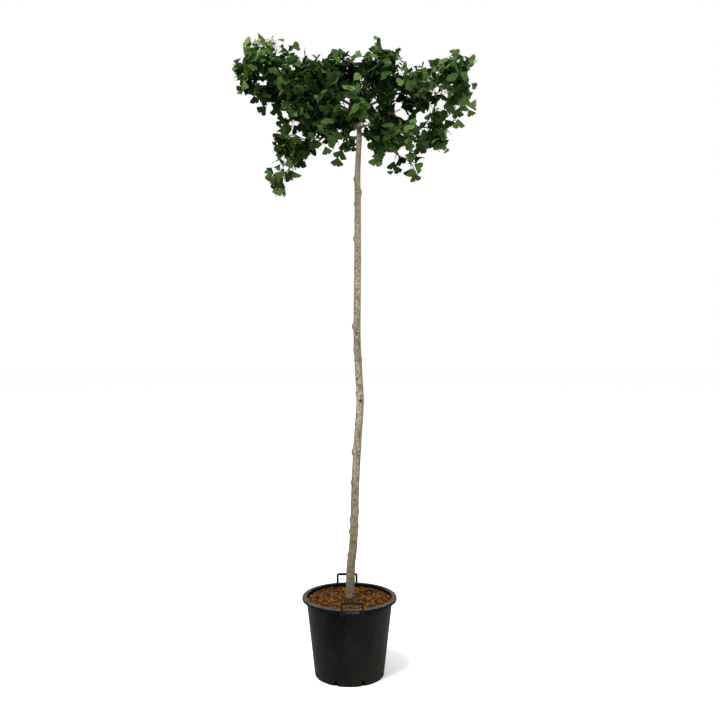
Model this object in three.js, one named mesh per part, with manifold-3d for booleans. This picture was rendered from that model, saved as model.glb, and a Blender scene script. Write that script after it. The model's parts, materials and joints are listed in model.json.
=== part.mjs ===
// A young ginkgo grown as a high-stem standard, in its round nursery pot with two handles.
// Millimetres, +Z up. The origin is the centre of the pot's flat underside; the handles stand
// at -Y (leaning outwards) and +Y (upright), and the trunk leans towards +X.
import * as THREE from "three";
import { mergeVertices } from "three/addons/utils/BufferGeometryUtils.js";
import Module from "manifold-3d";

const wasm = await Module();
wasm.setup();

// ---------------------------------------------------------------- driving dimensions (mm)
const CLEARANCE = 0.3; // gap between neighbouring pieces that touch on the real plant

const POT = {
  height: 367.5,
  footRadius: 162.5,
  wallTopRadius: 203, // outer face of the wall, just under the rim
  rimRadius: 223,
  rimDepth: 14.5, // how far the rolled edge hangs below the rim's top
  wall: 3,
  edgeRound: 6,
  lip: 2, // chamfer where the rim's top meets the inside
  rimRise: 1, // how much the wall opens out inside the rim
  segments: 40,
};
const DRAIN = { count: 8, width: 15, height: 23, halfDepth: 9, firstAngle: 22.5 };
const RIM_LUG = { width: 14, reach: 13, depth: 22 }; // small stop under the rim at each side

const HANDLE = {
  halfSpan: 47.2, // leg axis from the middle of the handle
  legRadius: 4.2,
  length: 52,
  bend: 9,
  bendSteps: 4,
  standOff: 228, // distance of the legs from the pot's axis
  foot: 352.5, // height of the legs' lower ends
  sides: 8,
  frontLean: 12, // degrees outwards
  turn: 3, // degrees about Z, of both handles
};
const HANDLE_LUG = { halfWidth: 7.5, inner: 212, outer: 235, low: 345.5, high: 361.5 };
const HANDLE_PLATE = { inner: 215, outer: 226.5, low: 348.5, high: 363.5 };

const SOIL = { edge: 347, crown: 350, patch: 38, lumps: 1.6, lumpRings: [0.86, 0.66, 0.45], footInset: 2 };

// Trunk centreline: height and sideways offset of its bends, and its radius at heights.
const TRUNK_FOOT = SOIL.crown + CLEARANCE;
const TRUNK_TIP = 2722;
const TRUNK_BENDS = [
  [TRUNK_FOOT, 4], [500, 6], [600, 17], [720, 23], [900, 28], [1100, 39], [1250, 49],
  [1330, 49], [1500, 39], [1620, 36], [1900, 38], [2200, 39], [2350, 38], [2550, 46],
  [2650, 42], [TRUNK_TIP, 38],
];
const TRUNK_RADII = [
  [TRUNK_FOOT, 24.5], [375, 22.8], [410, 21.2], [600, 19.5], [1000, 18.5], [1500, 16.6], [1950, 16],
  [2300, 14.2], [2460, 12.5], [2525, 13.5], [2560, 12], [2650, 10], [TRUNK_TIP, 7],
];
const TRUNK_SIDES = 10;
const TRUNK_STEP = 70; // greatest distance between two rings of its skin
const TRUNK_OWN_RINGS = [TRUNK_FOOT, 375, 410, 450, 2500, 2525, 2560, TRUNK_TIP]; // flare and graft
const ROOT_RIBS = { count: 5, swell: 0.08, fade: 30, turn: 0.6 };
const TRUNK_IN_CROWN = 2250; // from here up the foliage keeps clear of the trunk
const TRUNK_ROOM = 6; // knots and all
// Healed knots: height, bearing (degrees from +X), how far they swell, how tall they are.
const TRUNK_KNOTS = [
  [670, 200, 4, 22], [742, 165, 4, 20], [820, 260, 4, 24], [1060, 180, 9, 26], [1290, 275, 5, 26],
  [1640, 180, 7, 24], [1960, 70, 4, 24], [2050, 190, 6, 22], [2270, 5, 6, 22], [2330, 180, 6, 20],
];

// The crown is a set of leafy masses. Each has its own egg-shaped space: centre, half sizes,
// and `lean`, the sideways drift of the egg per unit of height. Its bough leaves `parent` at
// `from` (a height on the trunk, or a fraction of another bough) with a root `radius`, and
// `droop` tells how much its shoots hang.
const MASSES = {
  left_high: {
    centre: [-385, 0, 2831], half: [161, 170, 194],
    from: 2664, radius: 7.5, droop: -0.1,
  },
  left_front: {
    centre: [-189, -250, 2695], half: [142, 170, 173],
    from: 2592, radius: 7, droop: 0,
  },
  left_low: {
    centre: [-242, -20, 2524], half: [118, 140, 165],
    from: 2528, radius: 6.5, droop: 0.12,
  },
  left_hanging: {
    centre: [-308, -20, 2359], half: [99, 110, 108], lean: 0.3,
    parent: "left_low", from: 0.9, radius: 4.2, droop: 0.3,
  },
  left_back: {
    centre: [-188, 260, 2807], half: [161, 180, 186],
    from: 2622, radius: 7, droop: -0.05,
  },
  top: {
    centre: [131, 20, 2851], half: [128, 160, 171],
    from: 2700, radius: 6, droop: -0.2,
  },
  top_left: {
    centre: [-40, 10, 2815], half: [118, 140, 123],
    from: 2676, radius: 5.5, droop: -0.1,
  },
  front: {
    centre: [-11, -360, 2561], half: [146, 180, 190],
    from: 2556, radius: 7.5, droop: 0.15,
  },
  back: {
    centre: [13, 370, 2724], half: [175, 190, 206],
    from: 2596, radius: 7.5, droop: 0.05,
  },
  middle_left: {
    centre: [-88, 10, 2625], half: [118, 150, 199],
    from: 2610, radius: 5, droop: 0.1, entry: 0.5,
  },
  right_front: {
    centre: [181, -230, 2540], half: [120, 170, 187],
    from: 2576, radius: 6.5, droop: 0.1,
  },
  right_back: {
    centre: [224, 260, 2676], half: [136, 180, 181],
    from: 2640, radius: 6.5, droop: 0.05,
  },
  right_high: {
    centre: [472, 20, 2808], half: [147, 160, 180], lean: 0.12,
    from: 2652, radius: 7.5, droop: -0.12,
  },
  right_mid: {
    centre: [284, -30, 2737], half: [127, 190, 136],
    parent: "right_high", from: 0.3, radius: 5, droop: -0.05,
  },
  right_low: {
    centre: [446, 40, 2599], half: [138, 170, 172], lean: 0.5,
    from: 2544, radius: 7, droop: 0.12,
  },
  right_hanging: {
    centre: [242, -20, 2463], half: [108, 130, 179], lean: -0.35,
    parent: "right_low", from: 0.2, radius: 4.8, droop: 0.25,
  },
};
const MASS_MARGIN = 2; // each mass stays this far inside the planes it shares with its neighbours

const BOUGH = { sides: 6, spans: 6, tip: 3.1, entry: 0.8, arch: 22 };
const STEM = {
  root: 3.1,
  tip: 2.4,
  reach: 0.55, // where it ends, as a share of the way from the space's centre to its far side
  droop: 0.4,
  opening: 6, // length of the gap in its skin out of which a twig grows
  twigZone: 0.96, // the share of its length that carries twigs
};
const TWIG = {
  count: 11, // the most on one stem
  spacing: 12, // least distance between two along it
  root: 2.4,
  tip: 1.7,
  shortest: 16,
  spread: [78, 40], // degrees from the stem, at its foot and towards its end
  spreadChance: 14,
  turnChance: 0.8,
  lengthChance: 0.18, // the share of its length that chance may take away
  bendAt: 0.55,
  rise: 0.06, // how far a twig arches, as a share of its length
  droop: 0.6,
  endRoom: 75, // what its last leaf needs beyond its end,
  endShare: 0.62, // at most this share of the space's least half size
  firstRing: 12, // how far out from the stem's centre line its own skin begins
  opening: 5, // length of the gap in its skin out of which a leaf stalk grows
  apart: 7, // least distance between two twigs beyond their roots
};
const LEAF = {
  perMetre: 38,
  tries: 12,
  apart: 30, // least distance between the middles of two leaves
  petiole: [31, 19], // shortest, and what chance adds
  petioleRadius: 1.15,
  radius: [54, 16],
  halfAngle: [53, 8], // degrees
  notch: 0.8,
  corner: 0.92,
  shoulder: 0.55, // bearing of the blade's two shoulders, as a share of the half angle
  limbRoom: 4, // clear distance kept from every limb
  twigRoom: 4, // and from every twig
  straightness: 0.3, // least cosine between a stalk and its blade
  broad: 0.08, // least height of a blade's faces
  zone: 0.8, // the share of a twig, from its tip back, that carries leaves
  turnChance: 1.2,
  attemptTurn: 1.3, // each new attempt turns the stalk round the twig by this,
  attemptJitter: 0.5, // throws the blade about more
  attemptShrink: 0.05, // and makes it a little smaller
  stalkAlong: { end: 1, side: 0.35 }, // how much a stalk follows its twig, at its tip and along it
  stalkAside: { end: 0.15, side: 0.5 },
  stalkUp: 0.12,
  blade: { stalk: 0.7, outward: 0.3, up: -0.38, jitter: 0.7 }, // what draws the blade's direction
  face: { fromCentre: 0.75, outward: 0.2, up: 0.3 }, // and what draws its upper face
};
const CROWN_AXIS = 40; // sideways offset of the crown's middle from the pot's axis

const GOLDEN_ANGLE = THREE.MathUtils.degToRad(137.50776);

// ---------------------------------------------------------------- small tools
const UP = new THREE.Vector3(0, 0, 1);
const EAST = new THREE.Vector3(1, 0, 0);
const vector = (x, y, z) => new THREE.Vector3(x, y, z);
const sum = (...parts) => parts.reduce((total, part) => total.add(part), vector(0, 0, 0));
const times = (v, k) => v.clone().multiplyScalar(k);
const towards = (from, to) => to.clone().sub(from).normalize();
const radians = THREE.MathUtils.degToRad;
const evenly = (count) => Array.from({ length: count + 1 }, (_, step) => step / count);

// A repeatable random number in 0..1 from three keys.
function chance(a, b, c) {
  const wave = Math.sin(a * 12.9898 + b * 78.233 + c * 37.719) * 43758.5453;
  return wave - Math.floor(wave);
}

// Straight-line interpolation in a table of [where, value] rows.
function lookUp(table, where) {
  const next = table.findIndex(([at]) => at >= where);
  if (next === 0) return table[0][1];
  if (next < 0) return table[table.length - 1][1];
  const [a, va] = table[next - 1];
  const [b, vb] = table[next];
  return THREE.MathUtils.lerp(va, vb, (where - a) / (b - a));
}

// Two unit vectors square to `axis` and to each other, with first x second = axis.
function crossFrame(axis) {
  const helper = Math.abs(axis.z) > 0.95 ? EAST : UP;
  const first = vector(0, 0, 0).crossVectors(helper, axis).normalize();
  const second = vector(0, 0, 0).crossVectors(axis, first);
  return [first, second];
}

// A closed skin that grows ring by ring. Every ring runs round its limb by the right hand, so all
// faces look outwards, and a branch opens one face of a limb's side and goes on from its edges.
class Skin {
  points = [];
  faces = [];

  ring(points) {
    const first = this.points.length;
    this.points.push(...points);
    return points.map((_, index) => first + index);
  }

  // How far the upper ring is turned so that the two lie as straight as they can.
  turnBetween(lower, upper) {
    const strain = lower.map((_, turn) =>
      lower.reduce((total, corner, index) => {
        const partner = upper[(index + turn) % upper.length];
        return total + this.points[corner].distanceToSquared(this.points[partner]);
      }, 0),
    );
    return strain.indexOf(Math.min(...strain));
  }

  // Joins two rings and returns the numbers of the faces that a branch may open, one a side.
  join(lower, upper) {
    const turn = this.turnBetween(lower, upper);
    return lower.map((corner, side) => {
      const next = lower[(side + 1) % lower.length];
      const above = upper[(side + turn) % upper.length];
      const nextAbove = upper[(side + turn + 1) % upper.length];
      this.faces.push([corner, next, nextAbove], [corner, nextAbove, above]);
      return this.faces.length - 2;
    });
  }

  // Takes out the face that looks most towards `heading` and returns its corners as a ring.
  open(faceNumbers, heading) {
    const outlook = faceNumbers.map((number) => {
      const [a, b, c] = this.faces[number].map((corner) => this.points[corner]);
      return new THREE.Triangle(a, b, c).getNormal(vector(0, 0, 0)).dot(heading);
    });
    const number = faceNumbers[outlook.indexOf(Math.max(...outlook))];
    const corners = this.faces[number];
    this.faces[number] = null;
    return corners;
  }

  // Closes a ring with flat faces; the first ring of a limb is closed looking back.
  cap(ring, lookingBack) {
    for (let side = 1; side + 1 < ring.length; side++) {
      const [near, far] = lookingBack ? [side + 1, side] : [side, side + 1];
      this.faces.push([ring[0], ring[near], ring[far]]);
    }
  }

  geometry() {
    const geometry = new THREE.BufferGeometry().setFromPoints(this.points);
    geometry.setIndex(this.faces.filter((face) => face !== null).flat());
    return geometry;
  }
}

// A closed limb over a list of rings, with a flat cap at both ends.
function skinOver(rings) {
  const skin = new Skin();
  const numbers = rings.map((points) => skin.ring(points));
  numbers.slice(1).forEach((upper, index) => skin.join(numbers[index], upper));
  skin.cap(numbers[0], true);
  skin.cap(numbers[numbers.length - 1], false);
  return skin.geometry();
}

// Turns a closed geometry into a solid for cutting and joining.
function solid(geometry) {
  const bare = geometry.clone();
  bare.deleteAttribute("normal");
  bare.deleteAttribute("uv");
  const merged = mergeVertices(bare, 1e-3);
  return new wasm.Manifold(
    new wasm.Mesh({
      numProp: 3,
      vertProperties: new Float32Array(merged.attributes.position.array),
      triVerts: new Uint32Array(merged.index.array),
    }),
  );
}

function geometryOf(made) {
  const { vertProperties, triVerts } = made.getMesh();
  const geometry = new THREE.BufferGeometry();
  geometry.setAttribute("position", new THREE.BufferAttribute(vertProperties, 3));
  geometry.setIndex(new THREE.BufferAttribute(triVerts, 1));
  return geometry;
}

const group = new THREE.Group();

function addPiece(name, geometry, material) {
  const mesh = new THREE.Mesh(geometry, material);
  mesh.name = name;
  group.add(mesh);
}

const matter = (color, roughness) =>
  new THREE.MeshStandardMaterial({ color, roughness, metalness: 0, flatShading: true });
const potPlastic = matter(0x242522, 0.62);
const handlePlastic = matter(0x1b1b1a, 0.5);
const barkSubstrate = matter(0x5c3d22, 0.95);
const trunkBark = matter(0x94866f, 0.88);
const boughBark = matter(0x7a6a50, 0.85);
const foliageGreens = [0x35522a, 0x2c4724, 0x3f5f30, 0x4b6b36].map((green) => matter(green, 0.6));

// ---------------------------------------------------------------- pot
// A box between two corners, turned about Z by `turn` degrees.
function block(low, high, turn) {
  const size = high.map((value, axis) => value - low[axis]);
  const geometry = new THREE.BoxGeometry(...size);
  geometry.translate(...low.map((value, axis) => value + size[axis] / 2));
  geometry.rotateZ(radians(turn));
  return solid(geometry);
}

// The pot's wall, rolled rim and base as one closed profile turned about Z.
function potShell() {
  const { height, footRadius, wallTopRadius, rimRadius, rimDepth, rimRise, wall, edgeRound, lip } = POT;
  const profile = new THREE.Path();
  profile.moveTo(0, 0);
  profile.lineTo(footRadius - wall, 0);
  profile.lineTo(footRadius, wall);
  profile.lineTo(wallTopRadius, height - rimDepth);
  profile.lineTo(wallTopRadius + rimRise, height - wall);
  profile.lineTo(rimRadius - wall, height - wall - edgeRound);
  profile.lineTo(rimRadius - wall, height - rimDepth);
  profile.lineTo(rimRadius, height - rimDepth);
  profile.lineTo(rimRadius, height - edgeRound);
  profile.absarc(rimRadius - edgeRound, height - edgeRound, edgeRound, 0, Math.PI / 2, false);
  profile.lineTo(wallTopRadius - wall + lip, height);
  profile.lineTo(wallTopRadius - wall, height - lip);
  profile.lineTo(wallTopRadius - wall, height - rimDepth);
  profile.lineTo(footRadius - wall, wall);
  profile.lineTo(0, wall);
  const outline = profile.getPoints(2);
  // A profile in (radius, height) turns about Y in the lathe, so the result is stood up on Z.
  const geometry = new THREE.LatheGeometry(outline, POT.segments);
  geometry.rotateX(Math.PI / 2);
  return solid(geometry);
}

// One drain slot: it opens the wall just above the ground and notches the base's edge.
function drainSlot(angle) {
  const low = [POT.footRadius - DRAIN.halfDepth, -DRAIN.width / 2, -POT.wall];
  const high = [POT.footRadius + DRAIN.halfDepth, DRAIN.width / 2, DRAIN.height];
  return block(low, high, angle);
}

// The stop under the rim at bearing `angle`: a small web between the wall and the rolled edge.
function rimLug(angle) {
  const top = POT.height - POT.wall - POT.rimRise;
  const inner = POT.wallTopRadius - POT.wall / 2;
  const low = [inner, -RIM_LUG.width / 2, top - RIM_LUG.depth];
  const high = [inner + RIM_LUG.reach, RIM_LUG.width / 2, top];
  return block(low, high, angle);
}

// The bracket that carries one handle: two lugs on the rim's edge and the plate between them.
function handleBracket(turn) {
  const lug = (side) =>
    block(
      [side * HANDLE.halfSpan - HANDLE_LUG.halfWidth, HANDLE_LUG.inner, HANDLE_LUG.low],
      [side * HANDLE.halfSpan + HANDLE_LUG.halfWidth, HANDLE_LUG.outer, HANDLE_LUG.high],
      turn,
    );
  const plate = block(
    [-HANDLE.halfSpan, HANDLE_PLATE.inner, HANDLE_PLATE.low],
    [HANDLE.halfSpan, HANDLE_PLATE.outer, HANDLE_PLATE.high],
    turn,
  );
  return wasm.Manifold.union([lug(-1), lug(1), plate]);
}

// ---------------------------------------------------------------- handles
// One bent bar: leg, rounded corner, grip, rounded corner, leg; `radius` lets the same shape
// serve as the cutter of its sockets. `dip` lengthens the legs downwards.
function handleBar(radius, dip) {
  const { halfSpan, length, bend, bendSteps } = HANDLE;
  const corner = (side) =>
    new THREE.QuadraticBezierCurve3(
      vector(side * halfSpan, 0, length - bend),
      vector(side * halfSpan, 0, length),
      vector(side * (halfSpan - bend), 0, length),
    );
  const route = [vector(-halfSpan, 0, -dip), ...corner(-1).getPoints(bendSteps)];
  route.push(...corner(1).getPoints(bendSteps).reverse(), vector(halfSpan, 0, -dip));
  const rings = route.map((point, index) => {
    const before = route[Math.max(index - 1, 0)];
    const after = route[Math.min(index + 1, route.length - 1)];
    const along = towards(before, after);
    const across = vector(0, 1, 0);
    const inward = vector(0, 0, 0).crossVectors(along, across);
    return Array.from({ length: HANDLE.sides }, (_, side) => {
      const angle = (side / HANDLE.sides) * 2 * Math.PI;
      return sum(point, times(across, radius * Math.cos(angle)), times(inward, radius * Math.sin(angle)));
    });
  });
  return skinOver(rings);
}

// Stands a handle's geometry at its place: leaned outwards, then turned about the pot's axis.
function placeHandle(geometry, lean, turn) {
  geometry.rotateX(radians(-lean));
  geometry.translate(0, HANDLE.standOff, HANDLE.foot);
  geometry.rotateZ(radians(turn));
  return geometry;
}

const handles = [
  { name: "handle_back", lean: 0, turn: HANDLE.turn },
  { name: "handle_front", lean: HANDLE.frontLean, turn: 180 + HANDLE.turn },
];

function pot() {
  let shell = potShell();
  for (const angle of [0, 180]) shell = shell.add(rimLug(angle + HANDLE.turn));
  for (const { lean, turn } of handles) {
    const socket = solid(placeHandle(handleBar(HANDLE.legRadius + CLEARANCE, CLEARANCE), lean, turn));
    shell = shell.add(handleBracket(turn)).subtract(socket);
  }
  const slots = Array.from({ length: DRAIN.count }, (_, index) =>
    drainSlot(DRAIN.firstAngle + (360 * index) / DRAIN.count),
  );
  return geometryOf(shell.subtract(wasm.Manifold.union(slots)));
}

addPiece("pot", pot(), potPlastic);
for (const { name, lean, turn } of handles) {
  addPiece(name, placeHandle(handleBar(HANDLE.legRadius, 0), lean, turn), handlePlastic);
}

// ---------------------------------------------------------------- soil
// The root ball fills the pot to 2 cm below its rim; its top is lumpy but flat under the trunk.
function soil() {
  const wallRadius = (z) =>
    THREE.MathUtils.mapLinear(
      z, POT.wall, POT.height - POT.rimDepth, POT.footRadius, POT.wallTopRadius,
    ) - POT.wall - CLEARANCE;
  const floor = POT.wall + CLEARANCE;
  const ring = (radius, z, lumps) =>
    Array.from({ length: POT.segments }, (_, side) => {
      const angle = (side / POT.segments) * 2 * Math.PI;
      const lump = lumps * (2 * chance(side, radius, 1) - 1);
      return vector(radius * Math.cos(angle), radius * Math.sin(angle), z + lump);
    });
  const edge = wallRadius(SOIL.edge);
  const rings = [ring(wallRadius(floor) - SOIL.footInset, floor, 0), ring(edge, SOIL.edge, 0)];
  for (const share of SOIL.lumpRings) {
    const height = THREE.MathUtils.lerp(SOIL.crown, SOIL.edge, share);
    rings.push(ring(edge * share, height, SOIL.lumps));
  }
  rings.push(ring(SOIL.patch, SOIL.crown, 0));
  return skinOver(rings);
}
addPiece("soil", soil(), barkSubstrate);

// ---------------------------------------------------------------- trunk
// A smooth drift through the bends, read at even steps of height.
const trunkDrift = new THREE.SplineCurve(TRUNK_BENDS.map(([z, x]) => new THREE.Vector2(z, x)));
const trunkLine = evenly(160).map((share) => trunkDrift.getPoint(share).toArray());
const trunkAt = (z) => vector(lookUp(trunkLine, z), 0, z);
const trunkRadius = (z) => lookUp(TRUNK_RADII, z);

// How far the knots swell the bark at a height and a bearing.
function knotSwell(z, bearing) {
  return TRUNK_KNOTS.reduce((total, [height, degrees, swell, tall]) => {
    const rise = (z - height) / tall;
    const aside = Math.cos(bearing - radians(degrees));
    return total + swell * Math.exp(-rise * rise) * Math.max(aside, 0) ** 3;
  }, 0);
}

// The flare of the roots, as a share of the radius: soft ribs that fade upwards.
function rootRibs(z, bearing) {
  const fade = Math.exp(-(z - TRUNK_FOOT) / ROOT_RIBS.fade);
  return 1 + ROOT_RIBS.swell * fade * Math.cos(ROOT_RIBS.count * bearing + ROOT_RIBS.turn);
}

function trunkRing(z, extra) {
  const centre = trunkAt(z);
  return Array.from({ length: TRUNK_SIDES }, (_, side) => {
    const bearing = (side / TRUNK_SIDES) * 2 * Math.PI;
    const radius = trunkRadius(z) * rootRibs(z, bearing) + knotSwell(z, bearing) + extra;
    return sum(centre, vector(radius * Math.cos(bearing), radius * Math.sin(bearing), 0));
  });
}

// Ring heights: even steps, with the flare, the knots and the graft given rings of their own.
function trunkHeights() {
  const own = [...TRUNK_OWN_RINGS];
  for (const [height, , , tall] of TRUNK_KNOTS) own.push(height - tall, height, height + tall);
  for (let z = TRUNK_FOOT; z < TRUNK_TIP; z += TRUNK_STEP) {
    if (own.every((other) => Math.abs(other - z) > TRUNK_STEP / 2)) own.push(z);
  }
  return own.sort((a, b) => a - b);
}

const trunkShape = (extra) => skinOver(trunkHeights().map((z) => trunkRing(z, extra)));
addPiece("trunk", trunkShape(0), trunkBark);

// ---------------------------------------------------------------- the masses' spaces
const massNames = Object.keys(MASSES);
const spaces = massNames.map((name, index) => {
  const { centre, half, lean = 0 } = MASSES[name];
  return { name, index, centre: vector(...centre), half, lean, walls: [] };
});

// A direction or offset in the measure of a space's egg, where its surface is at length 1.
function measured(space, offset) {
  const { half, lean } = space;
  return vector((offset.x - lean * offset.z) / half[0], offset.y / half[1], offset.z / half[2]);
}

// Two eggs that meet share a plane square to the line between their centres.
for (const space of spaces) {
  for (const other of spaces) {
    if (other === space) continue;
    const normal = towards(space.centre, other.centre);
    const distance = space.centre.distanceTo(other.centre);
    const mine = 1 / measured(space, normal).length();
    const theirs = 1 / measured(other, normal).length();
    if (mine + theirs <= distance) continue;
    const meet = sum(space.centre, times(normal, (distance * mine) / (mine + theirs)));
    space.walls.push({ normal, limit: normal.dot(meet) - MASS_MARGIN });
  }
}

function isInside(space, point) {
  if (measured(space, point.clone().sub(space.centre)).lengthSq() >= 1) return false;
  return space.walls.every(({ normal, limit }) => normal.dot(point) < limit);
}

// The distance from a point inside the space to its surface, along a direction.
function reach(space, point, direction) {
  const along = measured(space, direction);
  const from = measured(space, point.clone().sub(space.centre));
  const a = along.lengthSq();
  const b = along.dot(from);
  const c = from.lengthSq() - 1;
  let distance = (-b + Math.sqrt(Math.max(b * b - a * c, 0))) / a;
  for (const { normal, limit } of space.walls) {
    const speed = normal.dot(direction);
    if (speed > 1e-6) distance = Math.min(distance, (limit - normal.dot(point)) / speed);
  }
  return Math.max(distance, 0);
}

// ---------------------------------------------------------------- tapering limbs
// A tapering limb along a quadratic curve: its points, directions and a frame without twist.
function limbAlong(from, bend, to) {
  const curve = new THREE.QuadraticBezierCurve3(from, bend, to);
  const flat = vector(0, 0, 0).crossVectors(bend.clone().sub(from), to.clone().sub(from)).normalize();
  return {
    curve,
    at: (share) => curve.getPoint(share),
    heading: (share) => curve.getTangent(share),
    // A ring of corners; with `facing`, the middle of its first side looks that way.
    ring(share, radius, sides, facing = flat) {
      const second = vector(0, 0, 0).crossVectors(curve.getTangent(share), flat);
      const centre = curve.getPoint(share);
      const bearing = Math.atan2(facing.dot(second), facing.dot(flat));
      return Array.from({ length: sides }, (_, side) => {
        const angle = bearing + ((side - 0.5) / sides) * 2 * Math.PI;
        return sum(
          centre, times(flat, radius * Math.cos(angle)), times(second, radius * Math.sin(angle)),
        );
      });
    },
  };
}

function limbShape(line, rootRadius, tipRadius, spans, sides) {
  const radiusAt = (share) => THREE.MathUtils.lerp(rootRadius, tipRadius, share);
  return skinOver(evenly(spans).map((share) => line.ring(share, radiusAt(share), sides)));
}

// ---------------------------------------------------------------- boughs
// Each bough leaves its parent's centre line, arches a little and ends inside its mass.
function boughLine(space) {
  const { parent, from, droop, entry = BOUGH.entry } = MASSES[space.name];
  const start = parent ? boughs.get(parent).line.at(from) : trunkAt(from);
  const course = towards(start, space.centre);
  const depth = 1 / measured(space, course).length();
  const tip = sum(space.centre, times(course, -depth * entry));
  const span = start.distanceTo(tip);
  const bend = sum(start, tip).multiplyScalar(0.5);
  bend.z += BOUGH.arch - droop * span * 0.5;
  return limbAlong(start, bend, tip);
}

const boughs = new Map();
const hasParent = ({ name }) => Number("parent" in MASSES[name]);
for (const space of [...spaces].sort((a, b) => hasParent(a) - hasParent(b))) {
  boughs.set(space.name, { line: boughLine(space), radius: MASSES[space.name].radius });
}

const boughRadius = (bough, share) => THREE.MathUtils.lerp(bough.radius, BOUGH.tip, share);

function boughShape(bough, extra) {
  return limbShape(bough.line, bough.radius + extra, BOUGH.tip + extra, BOUGH.spans, BOUGH.sides);
}

for (const [name, bough] of boughs) {
  const { parent } = MASSES[name];
  const carrier = parent ? boughShape(boughs.get(parent), CLEARANCE) : trunkShape(CLEARANCE);
  const shape = solid(boughShape(bough, 0)).subtract(solid(carrier));
  addPiece(`bough_${name}`, geometryOf(shape), boughBark);
}

// Every limb as a chain of straight spans with a radius at each joint, for the clearance tests.
const limbChains = [...boughs.values()].map((bough) => ({
  joints: evenly(12).map(bough.line.at),
  radii: evenly(12).map((share) => boughRadius(bough, share)),
}));
const trunkTop = evenly(8).map((share) => THREE.MathUtils.lerp(TRUNK_IN_CROWN, TRUNK_TIP, share));
limbChains.push({
  joints: trunkTop.map(trunkAt),
  radii: trunkTop.map((z) => trunkRadius(z) + TRUNK_ROOM),
});

// The clear distance from a point to the nearest limb's surface.
function limbClearance(point) {
  let nearest = Infinity;
  const span = new THREE.Line3();
  const foot = vector(0, 0, 0);
  for (const { joints, radii } of limbChains) {
    for (let joint = 0; joint + 1 < joints.length; joint++) {
      span.set(joints[joint], joints[joint + 1]);
      span.closestPointToPoint(point, true, foot);
      nearest = Math.min(nearest, foot.distanceTo(point) - Math.max(radii[joint], radii[joint + 1]));
    }
  }
  return nearest;
}

// ---------------------------------------------------------------- twigs
// The stem of a mass goes on from its bough's tip, CLEARANCE away, across the space.
function stemLine(space) {
  const { line } = boughs.get(space.name);
  const heading = line.heading(1);
  const start = sum(line.at(1), times(heading, CLEARANCE));
  const course = towards(start, space.centre);
  const depth = 1 / measured(space, course).length();
  const end = sum(space.centre, times(course, depth * STEM.reach));
  end.z -= MASSES[space.name].droop * depth * STEM.droop;
  const bend = sum(start, times(heading, start.distanceTo(end) / 2));
  return limbAlong(start, bend, end);
}

// Twigs stand round the stem by the golden angle, the lowest widest, each ending short of the
// space's surface by the room that its last leaf needs. One that would leave the space, or come
// too near a limb or an earlier twig, is left out.
function twigLines(space, stem) {
  const { droop } = MASSES[space.name];
  const endRoom = Math.min(TWIG.endRoom, TWIG.endShare * Math.min(...space.half));
  const twigs = [];
  const count = Math.min(TWIG.count, Math.floor(stem.curve.getLength() / TWIG.spacing));
  for (let k = 0; k < count; k++) {
    const last = k === count - 1;
    const share = last ? 1 : ((k + 0.5) / count) * STEM.twigZone;
    const root = stem.at(share);
    const axis = stem.heading(share);
    const [first, second] = crossFrame(axis);
    const round = k * GOLDEN_ANGLE + TWIG.turnChance * chance(space.index, k, 1);
    const sway = TWIG.spreadChance * (chance(space.index, k, 2) - 0.5);
    const spread = last ? 0 : radians(THREE.MathUtils.lerp(...TWIG.spread, share) + sway);
    const aside = sum(times(first, Math.cos(round)), times(second, Math.sin(round)));
    const heading = sum(times(axis, Math.cos(spread)), times(aside, Math.sin(spread))).normalize();
    const room = reach(space, root, heading) - endRoom;
    const length = room * (1 - TWIG.lengthChance * chance(space.index, k, 3));
    if (length < TWIG.shortest) continue;
    const end = sum(root, times(heading, length));
    end.z -= droop * length * TWIG.droop;
    const bend = sum(root, times(heading, length * TWIG.bendAt), times(UP, TWIG.rise * length));
    const line = limbAlong(root, bend, end);
    const chain = evenly(8).slice(1).map(line.at);
    const probes = chain.slice(2);
    if (!probes.every((probe) => isInside(space, probe))) continue;
    if (!probes.every((probe) => limbClearance(probe) > LEAF.limbRoom)) continue;
    const crowded = (other) => probes.some((probe) => distanceToChain(probe, other.chain) < TWIG.apart);
    if (twigs.some(crowded)) continue;
    twigs.push({ line, length, share, chain, key: k });
  }
  return twigs;
}

// The distance from a point to a chain of straight spans.
function distanceToChain(point, chain) {
  const span = new THREE.Line3();
  const foot = vector(0, 0, 0);
  return chain.slice(1).reduce((nearest, joint, index) => {
    span.set(chain[index], joint).closestPointToPoint(point, true, foot);
    return Math.min(nearest, foot.distanceTo(point));
  }, Infinity);
}

// ---------------------------------------------------------------- leaves
// The fan-shaped blade's outline from its left corner to its right one, with the middle notch:
// bearing as a share of the half angle, and distance as a share of the blade's radius.
const BLADE = [
  [-1, LEAF.corner], [-LEAF.shoulder, 1], [0, LEAF.notch], [LEAF.shoulder, 1], [1, LEAF.corner],
];

// The faces over and under a blade, by the numbers of its points: the upper, right and left
// corner of its stalk's end, and then its outline from the right corner to the left one.
const AROUND = [1, 3, 4, 5, 6, 7, 2];
const BLADE_FACES = [
  ...AROUND.slice(1).map((corner, index) => [0, AROUND[index], corner]),
  ...AROUND.slice(1, -1).map((corner, index) => [2, corner, AROUND[index]]),
];

// The height of a triangle over its longest side.
function height(a, b, c) {
  const longest = Math.max(a.distanceTo(b), b.distanceTo(c), c.distanceTo(a));
  return (2 * new THREE.Triangle(a, b, c).getArea()) / longest;
}

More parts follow.
